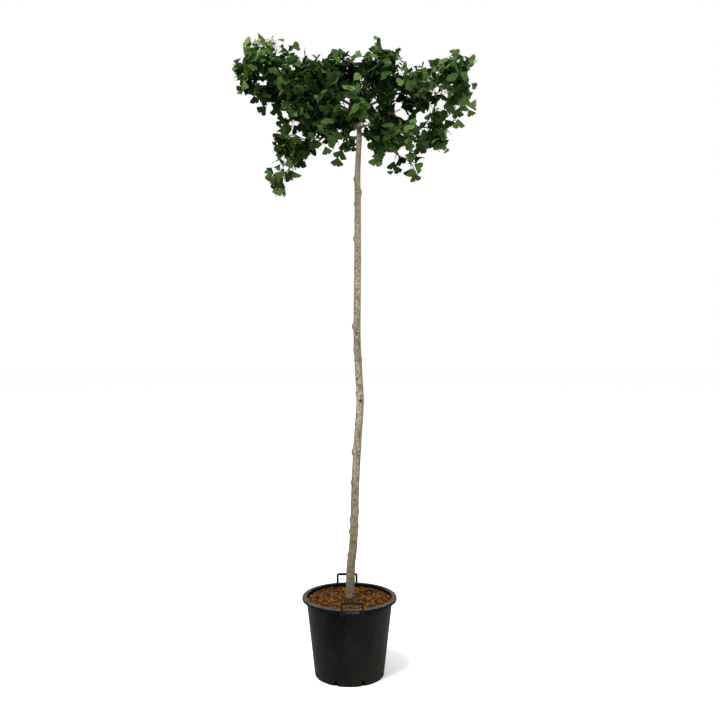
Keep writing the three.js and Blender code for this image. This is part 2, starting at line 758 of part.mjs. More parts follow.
// The attitude of one leaf: its stalk leaves the twig sideways, its blade hangs outwards and
// down, and its face looks out of the mass; chance and the number of the attempt vary it.
function leafAt(space, twig, site, share, attempt) {
  const root = twig.line.at(share);
  const axis = twig.line.heading(share);
  const [first, second] = crossFrame(axis);
  const seed = twig.key * 31 + site * 7 + attempt * 1013;
  const draw = (index) => chance(space.index, seed, 40 + index);
  const jitter = (from) => vector(draw(from), draw(from + 1), draw(from + 2)).addScalar(-0.5);
  const turns = LEAF.turnChance * draw(0) + twig.key + LEAF.attemptTurn * attempt;
  const round = site * GOLDEN_ANGLE + turns;
  const aside = sum(times(first, Math.cos(round)), times(second, Math.sin(round)));
  const place = site === 0 ? "end" : "side";
  const stalk = sum(
    times(aside, LEAF.stalkAside[place]), times(axis, LEAF.stalkAlong[place]), times(UP, LEAF.stalkUp),
  ).normalize();
  const base = sum(root, times(stalk, LEAF.petiole[0] + LEAF.petiole[1] * draw(1)));
  const outward = vector(root.x - CROWN_AXIS, root.y, 0).normalize();
  const scatter = LEAF.blade.jitter + LEAF.attemptJitter * attempt;
  const along = sum(
    times(stalk, LEAF.blade.stalk),
    times(outward, LEAF.blade.outward),
    times(UP, LEAF.blade.up),
    times(jitter(2), scatter),
  ).normalize();
  const face = sum(
    times(towards(space.centre, root), LEAF.face.fromCentre),
    times(outward, LEAF.face.outward),
    times(UP, LEAF.face.up),
    jitter(5),
  );
  face.addScaledVector(along, -face.dot(along)).normalize();
  const across = vector(0, 0, 0).crossVectors(along, face);
  const radius = (LEAF.radius[0] + LEAF.radius[1] * draw(8)) * (1 - LEAF.attemptShrink * attempt);
  const halfAngle = radians(LEAF.halfAngle[0] + LEAF.halfAngle[1] * draw(0));
  const onBlade = (bearing, distance) =>
    sum(
      base,
      times(along, Math.cos(bearing * halfAngle) * distance * radius),
      times(across, Math.sin(bearing * halfAngle) * distance * radius),
    );
  const rim = BLADE.map(([bearing, distance]) => onBlade(bearing, distance));
  const level = across.clone().addScaledVector(stalk, -across.dot(stalk)).normalize();
  const upwards = vector(0, 0, 0).crossVectors(level, stalk);
  const stalkEnd = [90, -30, -150].map((degrees) => {
    const [right, up] = [Math.cos(radians(degrees)), Math.sin(radians(degrees))];
    return sum(base, times(level, right * LEAF.petioleRadius), times(upwards, up * LEAF.petioleRadius));
  });
  const points = [...stalkEnd, ...[...rim].reverse()];
  const edges = [[root, base], ...rim.map((point) => [base, point])];
  rim.slice(1).forEach((point, index) => edges.push([rim[index], point]));
  return {
    stalk, along, points, edges, share,
    isBroad: BLADE_FACES.every((corners) => height(...corners.map((corner) => points[corner])) > LEAF.broad),
    triangles: rim.slice(1).map((point, index) => [base, rim[index], point]),
    middle: onBlade(0, 0.6),
    probes: [base, ...rim, ...[-1, -0.5, 0, 0.5, 1].map((bearing) => onBlade(bearing, 0.5))],
  };
}

// Whether a straight edge passes through one of some triangles.
function pierces(edges, triangles) {
  const hit = vector(0, 0, 0);
  return edges.some(([from, to]) => {
    const ray = new THREE.Ray(from, towards(from, to));
    const length = from.distanceTo(to);
    return triangles.some(
      ([a, b, c]) => ray.intersectTriangle(a, b, c, false, hit) && hit.distanceTo(from) < length,
    );
  });
}

const leavesCross = (one, two) =>
  pierces(one.edges, two.triangles) || pierces(two.edges, one.triangles);

const chainEdges = (chain) => chain.slice(1).map((joint, index) => [chain[index], joint]);

// A leaf keeps to the space and clear of the limbs, the other leaves, and the twigs.
function leafFits(space, leaf, twigs, stemChain, leaves) {
  if (leaf.stalk.dot(leaf.along) < LEAF.straightness || !leaf.isBroad) return false;
  if (leaves.some((other) => other.middle.distanceTo(leaf.middle) < LEAF.apart)) return false;
  if (!leaf.probes.every((probe) => isInside(space, probe))) return false;
  if (!leaf.probes.every((probe) => limbClearance(probe) > LEAF.limbRoom)) return false;
  if (leaves.some((other) => leavesCross(leaf, other))) return false;
  const chains = [stemChain, ...twigs.map((other) => other.chain)];
  if (chains.some((chain) => pierces(chainEdges(chain), leaf.triangles))) return false;
  return chains.every((chain) =>
    leaf.probes.every((probe) => distanceToChain(probe, chain) > LEAF.twigRoom),
  );
}

// One twig's leaves: the first at its tip, the rest back along it, each tried in several
// attitudes until one fits.
function leavesOn(space, twig, twigs, stemChain, taken) {
  const sites = Math.max(1, Math.round((twig.length / 1000) * LEAF.perMetre));
  const leaves = [];
  for (let site = 0; site < sites; site++) {
    const share = 1 - (site / sites) * LEAF.zone;
    for (let attempt = 0; attempt < LEAF.tries; attempt++) {
      const leaf = leafAt(space, twig, site, share, attempt);
      if (!leafFits(space, leaf, twigs, stemChain, [...taken, ...leaves])) continue;
      leaves.push(leaf);
      break;
    }
  }
  return leaves;
}

// Grows a leaf out of a three-cornered ring: a stalk to the blade's base, then the thin fan,
// closed over it from the stalk's upper corner and under it from the left one.
function growLeaf(skin, opening, leaf) {
  const numbers = skin.ring(leaf.points);
  skin.join(opening, numbers.slice(0, 3));
  skin.faces.push(...BLADE_FACES.map((corners) => corners.map((corner) => numbers[corner])));
}

// Grows a twig out of a three-cornered ring, with an opening in its side for each leaf but the
// one at its tip, which goes on from its last ring.
function growTwig(skin, opening, twig, leaves) {
  const { line, length } = twig;
  const ringAt = (share, facing) => {
    const radius = THREE.MathUtils.lerp(TWIG.root, TWIG.tip, share);
    return skin.ring(line.ring(share, radius, 3, facing));
  };
  let last = ringAt(TWIG.firstRing / length);
  skin.join(opening, last);
  const halfOpening = TWIG.opening / 2 / length;
  const sideLeaves = leaves.filter(({ share }) => share < 1).sort((a, b) => a.share - b.share);
  for (const leaf of sideLeaves) {
    const below = ringAt(leaf.share - halfOpening, leaf.stalk);
    const above = ringAt(leaf.share + halfOpening, leaf.stalk);
    skin.join(last, below);
    growLeaf(skin, skin.open(skin.join(below, above), leaf.stalk), leaf);
    last = above;
  }
  const tip = ringAt(1);
  skin.join(last, tip);
  const endLeaf = leaves.find(({ share }) => share === 1);
  if (endLeaf) growLeaf(skin, tip, endLeaf);
  else skin.cap(tip, false);
}

// ---------------------------------------------------------------- foliage
// One mass: a stem with an opening for each leafy twig; the last twig goes on from its end.
function foliage(space) {
  const stem = stemLine(space);
  const stemLength = stem.curve.getLength();
  const stemChain = evenly(6).map(stem.at);
  const twigs = twigLines(space, stem);
  const taken = [];
  for (const twig of twigs) {
    twig.leaves = leavesOn(space, twig, twigs, stemChain, taken);
    taken.push(...twig.leaves);
  }
  const leafy = twigs.filter(({ leaves }) => leaves.length > 0);
  const skin = new Skin();
  const ringAt = (share, facing) =>
    skin.ring(stem.ring(share, THREE.MathUtils.lerp(STEM.root, STEM.tip, share), 3, facing));
  let last = ringAt(0);
  skin.cap(last, true);
  const halfOpening = STEM.opening / 2 / stemLength;
  for (const twig of leafy.filter(({ share }) => share < 1)) {
    const heading = twig.line.heading(0);
    const below = ringAt(twig.share - halfOpening, heading);
    const above = ringAt(twig.share + halfOpening, heading);
    skin.join(last, below);
    const opening = skin.open(skin.join(below, above), heading);
    growTwig(skin, opening, twig, twig.leaves);
    last = above;
  }
  const end = ringAt(1);
  skin.join(last, end);
  const endTwig = leafy.find(({ share }) => share === 1);
  if (endTwig) growTwig(skin, end, endTwig, endTwig.leaves);
  else skin.cap(end, false);
  return skin.geometry();
}

for (const space of spaces) {
  const material = foliageGreens[space.index % foliageGreens.length];
  addPiece(`foliage_${space.name}`, foliage(space), material);
}

export default group;
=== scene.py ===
import json
from collections import namedtuple
from functools import lru_cache
from itertools import permutations

import bpy
import numpy as np
from bpy.props import FloatProperty, FloatVectorProperty, IntProperty, PointerProperty
from bpy.types import Operator, Panel, PropertyGroup
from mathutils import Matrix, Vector

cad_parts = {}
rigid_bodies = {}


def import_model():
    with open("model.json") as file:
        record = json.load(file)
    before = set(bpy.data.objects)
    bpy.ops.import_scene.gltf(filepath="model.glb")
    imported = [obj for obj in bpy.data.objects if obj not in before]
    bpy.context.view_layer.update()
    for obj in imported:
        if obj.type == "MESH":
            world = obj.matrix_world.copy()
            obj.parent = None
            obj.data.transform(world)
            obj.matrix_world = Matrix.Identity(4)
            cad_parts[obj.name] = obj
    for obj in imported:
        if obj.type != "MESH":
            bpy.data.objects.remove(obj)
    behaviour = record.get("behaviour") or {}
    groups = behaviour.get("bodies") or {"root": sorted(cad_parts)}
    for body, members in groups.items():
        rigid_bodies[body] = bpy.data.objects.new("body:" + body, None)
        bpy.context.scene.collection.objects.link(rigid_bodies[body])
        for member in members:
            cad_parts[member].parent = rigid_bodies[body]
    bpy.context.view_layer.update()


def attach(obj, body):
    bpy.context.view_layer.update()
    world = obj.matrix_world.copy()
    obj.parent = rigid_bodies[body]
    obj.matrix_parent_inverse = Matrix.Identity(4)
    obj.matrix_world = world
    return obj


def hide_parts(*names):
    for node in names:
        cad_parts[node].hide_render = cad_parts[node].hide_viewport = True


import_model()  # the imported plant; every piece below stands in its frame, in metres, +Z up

bl_info = {
    "name": "Potted ginkgo",
    "version": (1, 0, 0),
    "blender": (4, 5, 0),
    "location": "3D View > Sidebar > Ginkgo",
    "description": "Grows a grafted ginkgo standard in its nursery pot, piece by piece",
    "category": "Object",
}

# ------------------------------------------------------------------ sizes of the plant
# Tables are in millimetres, as a nursery measures; MM turns them into the frame's metres.
MM = 0.001
UP = np.array([0.0, 0.0, 1.0])
EAST = np.array([1.0, 0.0, 0.0])
GOLDEN_ANGLE = np.radians(137.50776)
FULL_TURN = 2 * np.pi

HANDLE_TURN = np.radians(3)  # both handles stand this far round from the pot's front and back
HANDLE = {"half_span": 47.2, "length": 52, "stand_off": 228, "foot": 352.5, "bend": 6, "gap": 2}
# Each handle's lean, its side of the pot and its thickness against the settings.
HANDLES = {"handle_back": (0.0, 0.0, 1.14), "handle_front": (np.radians(12), np.pi, 0.96)}
# Blocks moulded on the pot before their turn: low corner, high corner and rounding.
LUGS = [
    ((end - 7.5, 212, 345.5), (end + 7.5, 235, 361.5), 2)
    for end in (-HANDLE["half_span"], HANDLE["half_span"])
]
PLATE = ((-HANDLE["half_span"], 215, 348.5), (HANDLE["half_span"], 226.5, 363.5), 1.2)
STOP = ((201, -7, 341.5), (214.5, 7, 363.5), 1.5)
DRAINS = {"count": 8, "depth": 9, "below": 3, "edge": 2.5, "first": 22.5}

TRUNK_FOOT, TRUNK_TIP = 350.3, 2722
TRUNK_BURIED, TRUNK_CAP = 4, 2
# Height and sideways offset of the trunk's bends, and its radius at heights.
TRUNK_BENDS = [
    (TRUNK_FOOT, 4), (500, 6), (600, 17), (720, 23), (900, 28), (1100, 39), (1250, 49),
    (1330, 49), (1500, 39), (1620, 36), (1900, 38), (2200, 39), (2350, 38), (2550, 46),
    (2650, 42), (TRUNK_TIP, 38),
]
TRUNK_RADII = [
    (TRUNK_FOOT, 24.5), (375, 22.8), (410, 21.2), (600, 19.5), (1000, 18.5), (1500, 16.6),
    (1950, 16), (2300, 14.2), (2460, 12.5), (2525, 13.5), (2560, 12), (2650, 10), (TRUNK_TIP, 7),
]
# Healed knots and bud scars: height, bearing in degrees from +X, how far they swell, half height.
TRUNK_KNOTS = [
    (507, 262, 2, 9), (561, 184, 4, 8), (625, 258, 3, 11), (672, 186, 6, 12), (692, 355, 3, 10),
    (726, 183, 5, 10), (764, 350, 3, 10), (822, 262, 3, 12), (902, 184, 5, 9), (990, 80, 4, 14),
    (1047, 184, 9, 15), (1075, 205, 3, 9), (1180, 115, 5, 14), (1290, 275, 4, 18),
    (1323, 182, 4, 9), (1390, 235, 3, 11), (1480, 40, 5, 13), (1527, 184, 4, 9), (1608, 268, 2, 9),
    (1638, 182, 9, 14), (1740, 100, 5, 13), (1910, 240, 2, 10), (1960, 70, 5, 15),
    (2052, 186, 7, 13), (2140, 130, 4, 12), (2216, 182, 4, 9), (2270, 5, 7, 14), (2334, 183, 6, 12),
]
ROOT_RIBS = {"count": 5, "swell": 0.08, "fade": 30, "turn": 0.6}
TRUNK_IN_CROWN = 2250  # from here up the foliage keeps clear of the trunk
TRUNK_ROOM = 6  # knots and all

# The crown's leafy masses: the centre and half sizes of an egg-shaped space, where the mass's
# bough leaves its parent (a height on the trunk or a fraction of another bough), the bough's root
# radius, and how much the shoots hang. What else: the egg's sideways lean per unit of height, how
# near to the egg's surface the bough ends, the share of its leaves that grow, and the painted light
# added to their tones, painted shade where it is below 0.
MASSES = {
    "left_high": ((-385, 0, 2831), (161, 170, 194), 2664, 7.5, -0.1, dict(light=-0.09)),
    "left_front": ((-189, -250, 2695), (142, 170, 173), 2592, 7, 0, dict(light=-0.04)),
    "left_low": ((-242, -20, 2524), (118, 140, 165), 2528, 6.5, 0.12, dict(light=0.05)),
    "left_hanging": (
        (-308, -20, 2359), (99, 110, 108), 0.9, 4.2, 0.3,
        dict(parent="left_low", lean=0.3, fill=0.6, light=-0.05),
    ),
    "left_back": ((-188, 260, 2807), (161, 180, 186), 2622, 7, -0.05, {}),
    "top": ((131, 20, 2851), (128, 160, 171), 2700, 6, -0.2, dict(fill=0.85, light=0.11)),
    "top_left": ((-40, 10, 2815), (118, 140, 123), 2676, 5.5, -0.1, {}),
    "front": ((-11, -360, 2561), (146, 180, 190), 2556, 7.5, 0.15, {}),
    "back": ((13, 370, 2724), (175, 190, 206), 2596, 7.5, 0.05, {}),
    "middle_left": ((-88, 10, 2625), (118, 150, 199), 2610, 5, 0.1, dict(entry=0.5)),
    "right_front": ((181, -230, 2540), (120, 170, 187), 2576, 6.5, 0.1, {}),
    "right_back": ((224, 260, 2676), (136, 180, 181), 2640, 6.5, 0.05, {}),
    "right_high": (
        (472, 20, 2808), (147, 160, 180), 2652, 7.5, -0.12, dict(lean=0.12, fill=0.7, light=-0.05),
    ),
    "right_mid": (
        (284, -30, 2737), (127, 190, 136), 0.3, 5, -0.05, dict(parent="right_high", light=0.04),
    ),
    "right_low": (
        (446, 40, 2599), (138, 170, 172), 2544, 7, 0.12, dict(lean=0.5, fill=0.82, light=0.12),
    ),
    "right_hanging": (
        (242, -20, 2463), (108, 130, 179), 0.2, 4.8, 0.25,
        dict(parent="right_low", lean=-0.35, fill=0.75),
    ),
}
MASS_MARGIN = 2  # each mass stays this far inside the planes it shares with its neighbours
BOUGH = {"tip": 3.1, "arch": 22, "rings": 34, "sides": 14, "collar": 0.5, "fade": 16, "wander": 0.1}
STEM = {"root": 3.1, "tip": 2.0, "reach": 0.55, "droop": 0.4, "twig_zone": 0.96}
TWIG = {
    "root": 2.2, "tip": 1.3, "shortest": 16, "spread": (78, 40), "spread_chance": 14,
    "turn_chance": 0.8, "length_chance": 0.18, "bend_at": 0.55, "rise": 0.06, "droop": 0.6,
    "end_room": 55, "limb_room": 4, "apart": 7, "open_joints": 3,
}
SHOOT = {
    "root": 1.5, "tip": 1.0, "shortest": 15, "longest": 200, "share": 0.55, "spread": (55, 15),
    "turn": 1.9, "end_room": 50, "rise": 0.05, "past_last": 0.7,
}
SPUR = {"bend": 3, "end": 5, "radii": (1.7, 1.6, 1.2), "swell": 0.13, "ripple": 2.6}
STALK_RADII = (0.8, 0.65, 0.6, 0.65, 0.75)
LEAF = {
    "tries": 6, "apart": 12, "zone": 0.8, "room": 2, "straightness": 0.1, "turn_chance": 1.2,
    "attempt_turn": 1.3, "cluster_turn": 2.1, "attempt_jitter": 0.5, "attempt_shrink": 0.06,
    "clump": 55, "thin": 0.5, "thin_from": 0.55, "least_clump": 0.55,
    "stalk_aside": (0.15, 0.54), "stalk_along": (1, 0.35), "stalk_up": 0.12, "onwards": 0.45,
    "outwards": 0.18, "hang": (0.3, 0.62), "scatter": 0.7, "half_angle": (44, 12), "small": 1.2,
    "face": {"mass": 0.5, "out": 0.2, "up": 0.22, "chance": 1.5},
}
STRAY = {
    "depth": (-25, 70), "sway": 0.5, "stalk_up": 0.3, "stalk_chance": 0.5, "reach": (22, 14),
    "radius": (39, 12), "half_angle": (40, 10), "arch": 8, "face_up": 0.35, "first_key": 900,
}
# A blade's outline as tested: bearings in half angles and distances in radii.
BLADE = np.array([(-1, 0.92), (-0.55, 1), (0, 0.8), (0.55, 1), (1, 0.92)])
CROWN_AXIS = 40  # sideways offset of the crown's middle from the pot's axis
CROWN_SLACK = 14  # how far a leaf's edge may pass the surface of its mass
EYE = (4100, 1620)  # openings and strays are set out as seen from this far in front, this high

# Places where the crown is open or thin right through: sideways offset and height of the middle,
# half width, half height, and the share of the leaves that stay.
OPENINGS = [
    (233, 2692, 16, 64, 0), (255, 2636, 22, 24, 0), (346, 2632, 28, 26, 0), (427, 2689, 16, 11, 0),
    (123, 2696, 14, 22, 0), (-16, 2694, 21, 28, 0), (83, 2591, 9, 29, 0), (-52, 2557, 15, 13, 0),
    (-411, 2781, 17, 12, 0), (-133, 2485, 24, 48, 0), (-258, 2594, 15, 10, 0),
    (-283, 2554, 20, 9, 0), (-232, 2534, 13, 18, 0), (-166, 2412, 34, 30, 0),
    (-375, 2662, 14, 26, 0), (-318, 2637, 17, 18, 0), (-41, 2514, 9, 14, 0), (14, 2541, 17, 8, 0),
    (-62, 2490, 24, 9, 0), (248, 2535, 13, 15, 0), (48, 2545, 16, 62, 0), (548, 2525, 82, 88, 0),
    (434, 2942, 62, 34, 0), (63, 2968, 42, 34, 0.1), (194, 2986, 52, 34, 0.1),
    (604, 2806, 38, 78, 0.05), (560, 2962, 66, 42, 0), (-502, 2681, 93, 50, 0.05),
    (-405, 2284, 30, 42, 0.05), (-274, 2284, 34, 42, 0.05), (-80, 2506, 15, 19, 0),
    (347, 2314, 44, 36, 0), (219, 2332, 26, 18, 0), (525, 2604, 84, 46, 0.06),
    (519, 2672, 9, 26, 0), (184, 2438, 20, 27, 0), (171, 2392, 12, 32, 0), (254, 2461, 15, 24, 0),
    (391, 2430, 60, 34, 0), (278, 2350, 112, 78, 0.14), (-385, 2400, 60, 40, 0.3),
    (-250, 2330, 60, 50, 0.4),
]
# Leaves that hang clear of the masses: sideways offset and height of the blade's foot, and the
# blade's course in degrees above +X.
STRAYS = {
    "top": [
        (130, 2924, 105), (61, 2913, 150), (176, 2896, 30), (66, 2888, 215), (70, 2862, 250),
        (88, 2900, -80), (74, 2826, -60), (104, 2874, 200),
    ],
    "right_high": [(502, 2913, 95), (555, 2897, -10), (526, 2757, 4), (466, 2716, -75)],
    "right_low": [
        (554, 2682, -8), (561, 2664, -62), (535, 2692, -88), (505, 2662, -76), (512, 2620, -84),
        (453, 2616, -60), (422, 2645, -82), (429, 2608, -88), (384, 2650, -95), (400, 2524, -48),
        (353, 2571, -75), (385, 2560, -60),
    ],
    "right_mid": [(262, 2716, -70), (288, 2690, -110), (238, 2742, -75)],
    "right_hanging": [
        (305, 2403, -22), (304, 2362, -72), (300, 2386, -100), (211, 2420, -105),
        (139, 2466, -98), (130, 2438, -102), (292, 2410, 88), (236, 2440, -65), (330, 2500, -80),
    ],
    "middle_left": [(-34, 2472, -112), (-55, 2436, -100), (-100, 2545, -85), (-72, 2548, -110)],
    "left_low": [
        (-114, 2489, -72), (-232, 2425, -90), (-300, 2604, 165), (-292, 2580, 205),
        (-262, 2590, -60), (-170, 2526, -75),
    ],
    "left_hanging": [(-317, 2327, -110), (-359, 2360, 185), (-308, 2362, -40), (-282, 2378, -72)],
    "left_high": [
        (-393, 2677, -135), (-342, 2681, -100), (-451, 2761, 170), (-461, 2968, 150),
        (-274, 2955, 20),
    ],
}
# The grid of a leaf's mesh: places across the fan and outwards, and the edge's distance.
LEAF_ACROSS = np.array([-1, -0.84, -0.62, -0.38, -0.13, 0, 0.13, 0.38, 0.62, 0.84, 1])
LEAF_OUTWARDS = np.array([0.03, 0.4, 0.78, 1])
LEAF_EDGE = np.array([0.94, 1.0, 0.985, 0.96, 0.92, 0.74, 0.92, 0.96, 0.985, 1.0, 0.94])
# Leaf tones, darkest first: one green in copies of painted shade and painted light, dealt out by depth
# in the crown and by chance.
TONES = ("shade", "deep", "mid", "bright", "young")
TONE_STEPS = (0.3, 0.425, 0.56, 0.77)
# The crown's middle and half sizes, from which a leaf's painted light grows outwards.
CROWN_MIDDLE = np.array([40.0, 0.0, 2640.0])
CROWN_HALF = np.array([540.0, 760.0, 380.0])
# Bark chips by tone: the range of chance that they take, and their colour's factor.
CHIP_TONES = {"dark": (0.0, 0.42, 0.17), "mid": (0.42, 0.8, 0.72), "pale": (0.8, 1.0, 2.1)}
# Lamps, in metres: place, point they look at, width, power.
LAMPS = {
    "key": ((-2.2, -3.0, 7.2), (0.0, 0.0, 2.0), 2.6, 700),
    "fill": ((4.5, -2.6, 3.2), (0.0, 0.0, 1.4), 3.0, 60),
}
CAMERA = {"place": (0.0, -4.1, 1.62), "lens": 43.4, "sensor": 36.0, "shift": (0.0146, -0.0412)}
FLOOR_HALF = 30.0


# ------------------------------------------------------------------ what a user may change
def length(name, description, default, top):
    """A length property in metres whose default is given in millimetres."""
    return FloatProperty(
        name=name, description=description, default=default * MM, min=0.0, max=top * MM,
        subtype="DISTANCE", unit="LENGTH", precision=4,
    )


def number(name, description, default, least, most):
    """A whole-number property."""
    return IntProperty(name=name, description=description, default=default, min=least, max=most)


def colour(name, description, default):
    """A base colour property; the default is scene-linear red, green and blue."""
    return FloatVectorProperty(
        name=name, description=description, default=default, size=3, min=0.0, max=1.0,
        subtype="COLOR",
    )


class PlantPotSizes(PropertyGroup):
    height: length("Height", "From the flat underside to the top of the rim", 367.5, 1000)
    foot_radius: length("Foot radius", "Outer radius at the ground", 162.5, 500)
    wall_radius: length("Wall radius", "Outer radius just under the rim", 203, 500)
    rim_radius: length("Rim radius", "Outer radius of the rolled rim", 223, 500)
    rim_depth: length("Rim depth", "How far the rolled edge hangs down", 14.5, 60)
    wall: length("Wall", "Thickness of the moulded wall", 3, 10)
    drain_width: length("Drain width", "Width of one drain slot", 16.5, 40)
    drain_height: length("Drain height", "Height of one drain slot", 26, 60)
    bar_radius: length("Handle bar", "Radius of the handles' legs", 5, 8)
    grip_radius: length("Handle grip", "Radius of the handles' grips", 5.7, 9)
    soil_edge: length("Substrate edge", "Level of the substrate at the wall", 347, 1000)
    soil_crown: length("Substrate crown", "Level of the substrate at the trunk", 350, 1000)
    heap: length("Heap", "How much higher the substrate is heaped round the trunk", 10, 20)
    chips: number("Chips", "How many loose bark chips lie on top", 8400, 0, 12000)


class PlantWoodSizes(PropertyGroup):
    ridge: length("Bark ridge", "Height of the bark's ridges on the lower trunk", 0.45, 4)
    sides: number("Sides", "Faces round the trunk", 72, 12, 96)
    ring_gap: length("Ring gap", "Distance between the trunk's rings", 2.6, 20)


class PlantCrownSizes(PropertyGroup):
    twigs: number("Twigs", "Most twigs on one stem", 12, 1, 20)
    shoots: number("Shoots", "Side shoots on one twig", 3, 0, 6)
    sites: number("Leaf sites", "Leafy spurs to a metre of twig", 44, 5, 80)
    cluster: number("Cluster", "Leaves on one spur", 3, 1, 5)
    blade: length("Blade", "Radius of the smallest leaf fan", 27, 90)
    blade_chance: length("Blade chance", "What chance adds to a leaf fan's radius", 23, 40)
    stalk: length("Stalk", "Length of the shortest leaf stalk", 26, 90)
    stalk_chance: length("Stalk chance", "What chance adds to a stalk", 16, 60)
    thickness: length("Leaf thickness", "Thickness of a leaf in its middle", 0.5, 2)


class PlantColours(PropertyGroup):
    pot: colour("Pot", "Moulded charcoal plastic", (0.0015, 0.0018, 0.0018))
    # Dust colour, also used for the painted highlight on the rim's top and the painted sheen at the
    # pot's sides
    dust_and_sheen: colour("Dust", "Dry dust on rim and wall", (0.072, 0.062, 0.05))
    handle: colour("Handles", "Dark handle bars", (0.0026, 0.0027, 0.0028))
    # Blue-grey painted highlight on the brackets' plates
    rub_and_highlight: colour("Rubbed plastic", "Blue-grey wear on the brackets' plates", (0.043, 0.047, 0.058))
    soil: colour("Substrate", "Moist bark and coir", (0.05, 0.019, 0.0055))
    chip: colour("Chips", "Dry bark chips", (0.155, 0.067, 0.019))
    bark: colour("Bark", "Grey-beige bark of the trunk", (0.245, 0.206, 0.148))
    fissure: colour("Fissures", "Brown bottom of the bark's fissures", (0.07, 0.051, 0.03))
    # Green-grey painted shade on the trunk's left and right flanks
    flank_shade: colour("Algae", "Green-grey film on the trunk's flanks", (0.075, 0.072, 0.048))
    young_bark: colour("Young bark", "Boughs and twigs", (0.07, 0.062, 0.042))
    # Leaf tones, one green in copies: shade and deep are painted shade, bright and highlit are painted
    # light, mid lies between; each is dealt out by depth in the crown and by chance.
    leaf_shade: colour("Shaded leaves", "Oldest, darkest leaves", (0.002, 0.0062, 0.0009))
    leaf_deep: colour("Deep leaves", "Deep green leaves", (0.0095, 0.0235, 0.004))
    leaf_mid: colour("Mid leaves", "Mid green leaves", (0.027, 0.055, 0.0125))
    leaf_bright: colour("Bright leaves", "Bright green leaves", (0.055, 0.098, 0.0255))
    leaf_young: colour("Young leaves", "Yellow-green leaves near the tips", (0.1, 0.145, 0.046))


Crown = namedtuple("Crown", "twigs shoots sites cluster blade blade_chance stalk stalk_chance")


# ------------------------------------------------------------------ arithmetic of the growth
def chance(a, b, c):
    """A repeatable random number in 0..1 from three keys: the fraction of a large sine."""
    wave = np.sin(a * 12.9898 + b * 78.233 + c * 37.719) * 43758.5453
    return wave - np.floor(wave)


def vectors(*parts):
    """Coordinates, numbers or arrays, put together as vectors."""
    return np.stack(np.broadcast_arrays(*parts), -1)


def ring(radius, bearing, height):
    """Points at a radius, bearing and height about the upright axis."""
    return vectors(radius * np.cos(bearing), radius * np.sin(bearing), height)


def bearings(count):
    """Bearings that part a full turn evenly."""
    return np.arange(count) / count * FULL_TURN


def unit(v):
    """Vectors scaled to length 1."""
    return v / np.maximum(np.linalg.norm(v, axis=-1, keepdims=True), 1e-12)


def squared(v, axis):
    """Vectors made square to an axis and scaled to length 1."""
    return unit(v - (v * axis).sum(-1, keepdims=True) * axis)


def cross_frame(axis):
    """Two unit vectors square to an axis and to each other, first x second = axis."""
    helper = np.where(np.abs(axis[..., 2:]) > 0.95, EAST, UP)
    first = unit(np.cross(helper, axis))
    return first, np.cross(axis, first)


def around(axis, bearing):
    """Unit vectors square to an axis at a bearing round it."""
    first, second = cross_frame(axis)
    return first * np.cos(bearing)[..., None] + second * np.sin(bearing)[..., None]


def parting(axis, bearing, spread):
    """Unit vectors that part from an axis by an angle, at a bearing round it."""
    spread = spread[:, None]
    return unit(axis * np.cos(spread) + around(axis, bearing) * np.sin(spread))


def smooth(low, high, value):
    """The S-curve 3t^2 - 2t^3 of a value's place t between two bounds."""
    t = np.clip((value - low) / (high - low), 0, 1)
    return t * t * (3 - 2 * t)


def mottle(u, v, seed, period=0):
    """A smooth random field in 0..1: random values on whole numbers, blended by the S-curve; with
    a period it closes round in u."""
    column, row = np.floor(u), np.floor(v)
    across, along = smooth(0, 1, u - column), smooth(0, 1, v - row)

    def corner(right, up):
        place = (column + right) % period if period else column + right
        return chance(place, row + up, seed)

    low = corner(0, 0) * (1 - across) + corner(1, 0) * across
    high = corner(0, 1) * (1 - across) + corner(1, 1) * across
    return low * (1 - along) + high * along


def drift(points, count):
    """A smooth line through points: on each stretch the cubic with the slope of its neighbours."""
    p = np.array(points, float)
    p = np.vstack([p[:1], p, p[-1:]])
    place = np.linspace(0, len(points) - 1, count + 1)
    at = np.minimum(place.astype(int), len(points) - 2)
    t = (place - at)[:, None]
    a, b, c, d = [p[at + step] for step in range(4)]
    start, end = (c - a) / 2, (d - b) / 2
    cubic, square = 2 * b - 2 * c + start + end, 3 * c - 3 * b - 2 * start - end
    return cubic * t**3 + square * t**2 + start * t + b


TRUNK_LINE = drift(TRUNK_BENDS, 160)


def trunk_at(z):
    """Points of the trunk's centre line at heights, in millimetres."""
    return vectors(np.interp(z, *TRUNK_LINE.T), 0.0, z)


def trunk_radius(z):
    """The trunk's radius at heights, straight between the table's rows."""
    return np.interp(z, *np.array(TRUNK_RADII, float).T)


class Limbs:
    """Limbs that follow quadratic curves, one a row: start, bend and end points."""

    def __init__(self, *points):
        self.points = np.atleast_2d(*points)
        self.start, self.bend, self.end = self.points

    def at(self, share):
        """Points at a share of each curve: (1-s)^2 start + 2s(1-s) bend + s^2 end."""
        s = np.asarray(share, float)[..., None]
        return (1 - s) ** 2 * self.start + 2 * s * (1 - s) * self.bend + s**2 * self.end

    def heading(self, share):
        """Directions of the curves at a share."""
        s = np.asarray(share, float)[..., None]
        return unit((1 - s) * (self.bend - self.start) + s * (self.end - self.bend))

    def joints(self, count):
        """Points at even shares of every curve: limbs x (count + 1) x 3."""
        return np.stack([self.at([share]) for share in np.linspace(0, 1, count + 1)], 1)

    def pick(self, rows):
        """Some of the limbs."""
        return Limbs(*[point[rows] for point in self.points])

    def joined(self, other):
        """These limbs followed by others."""
        return Limbs(*[np.vstack(pair) for pair in zip(self.points, other.points)])


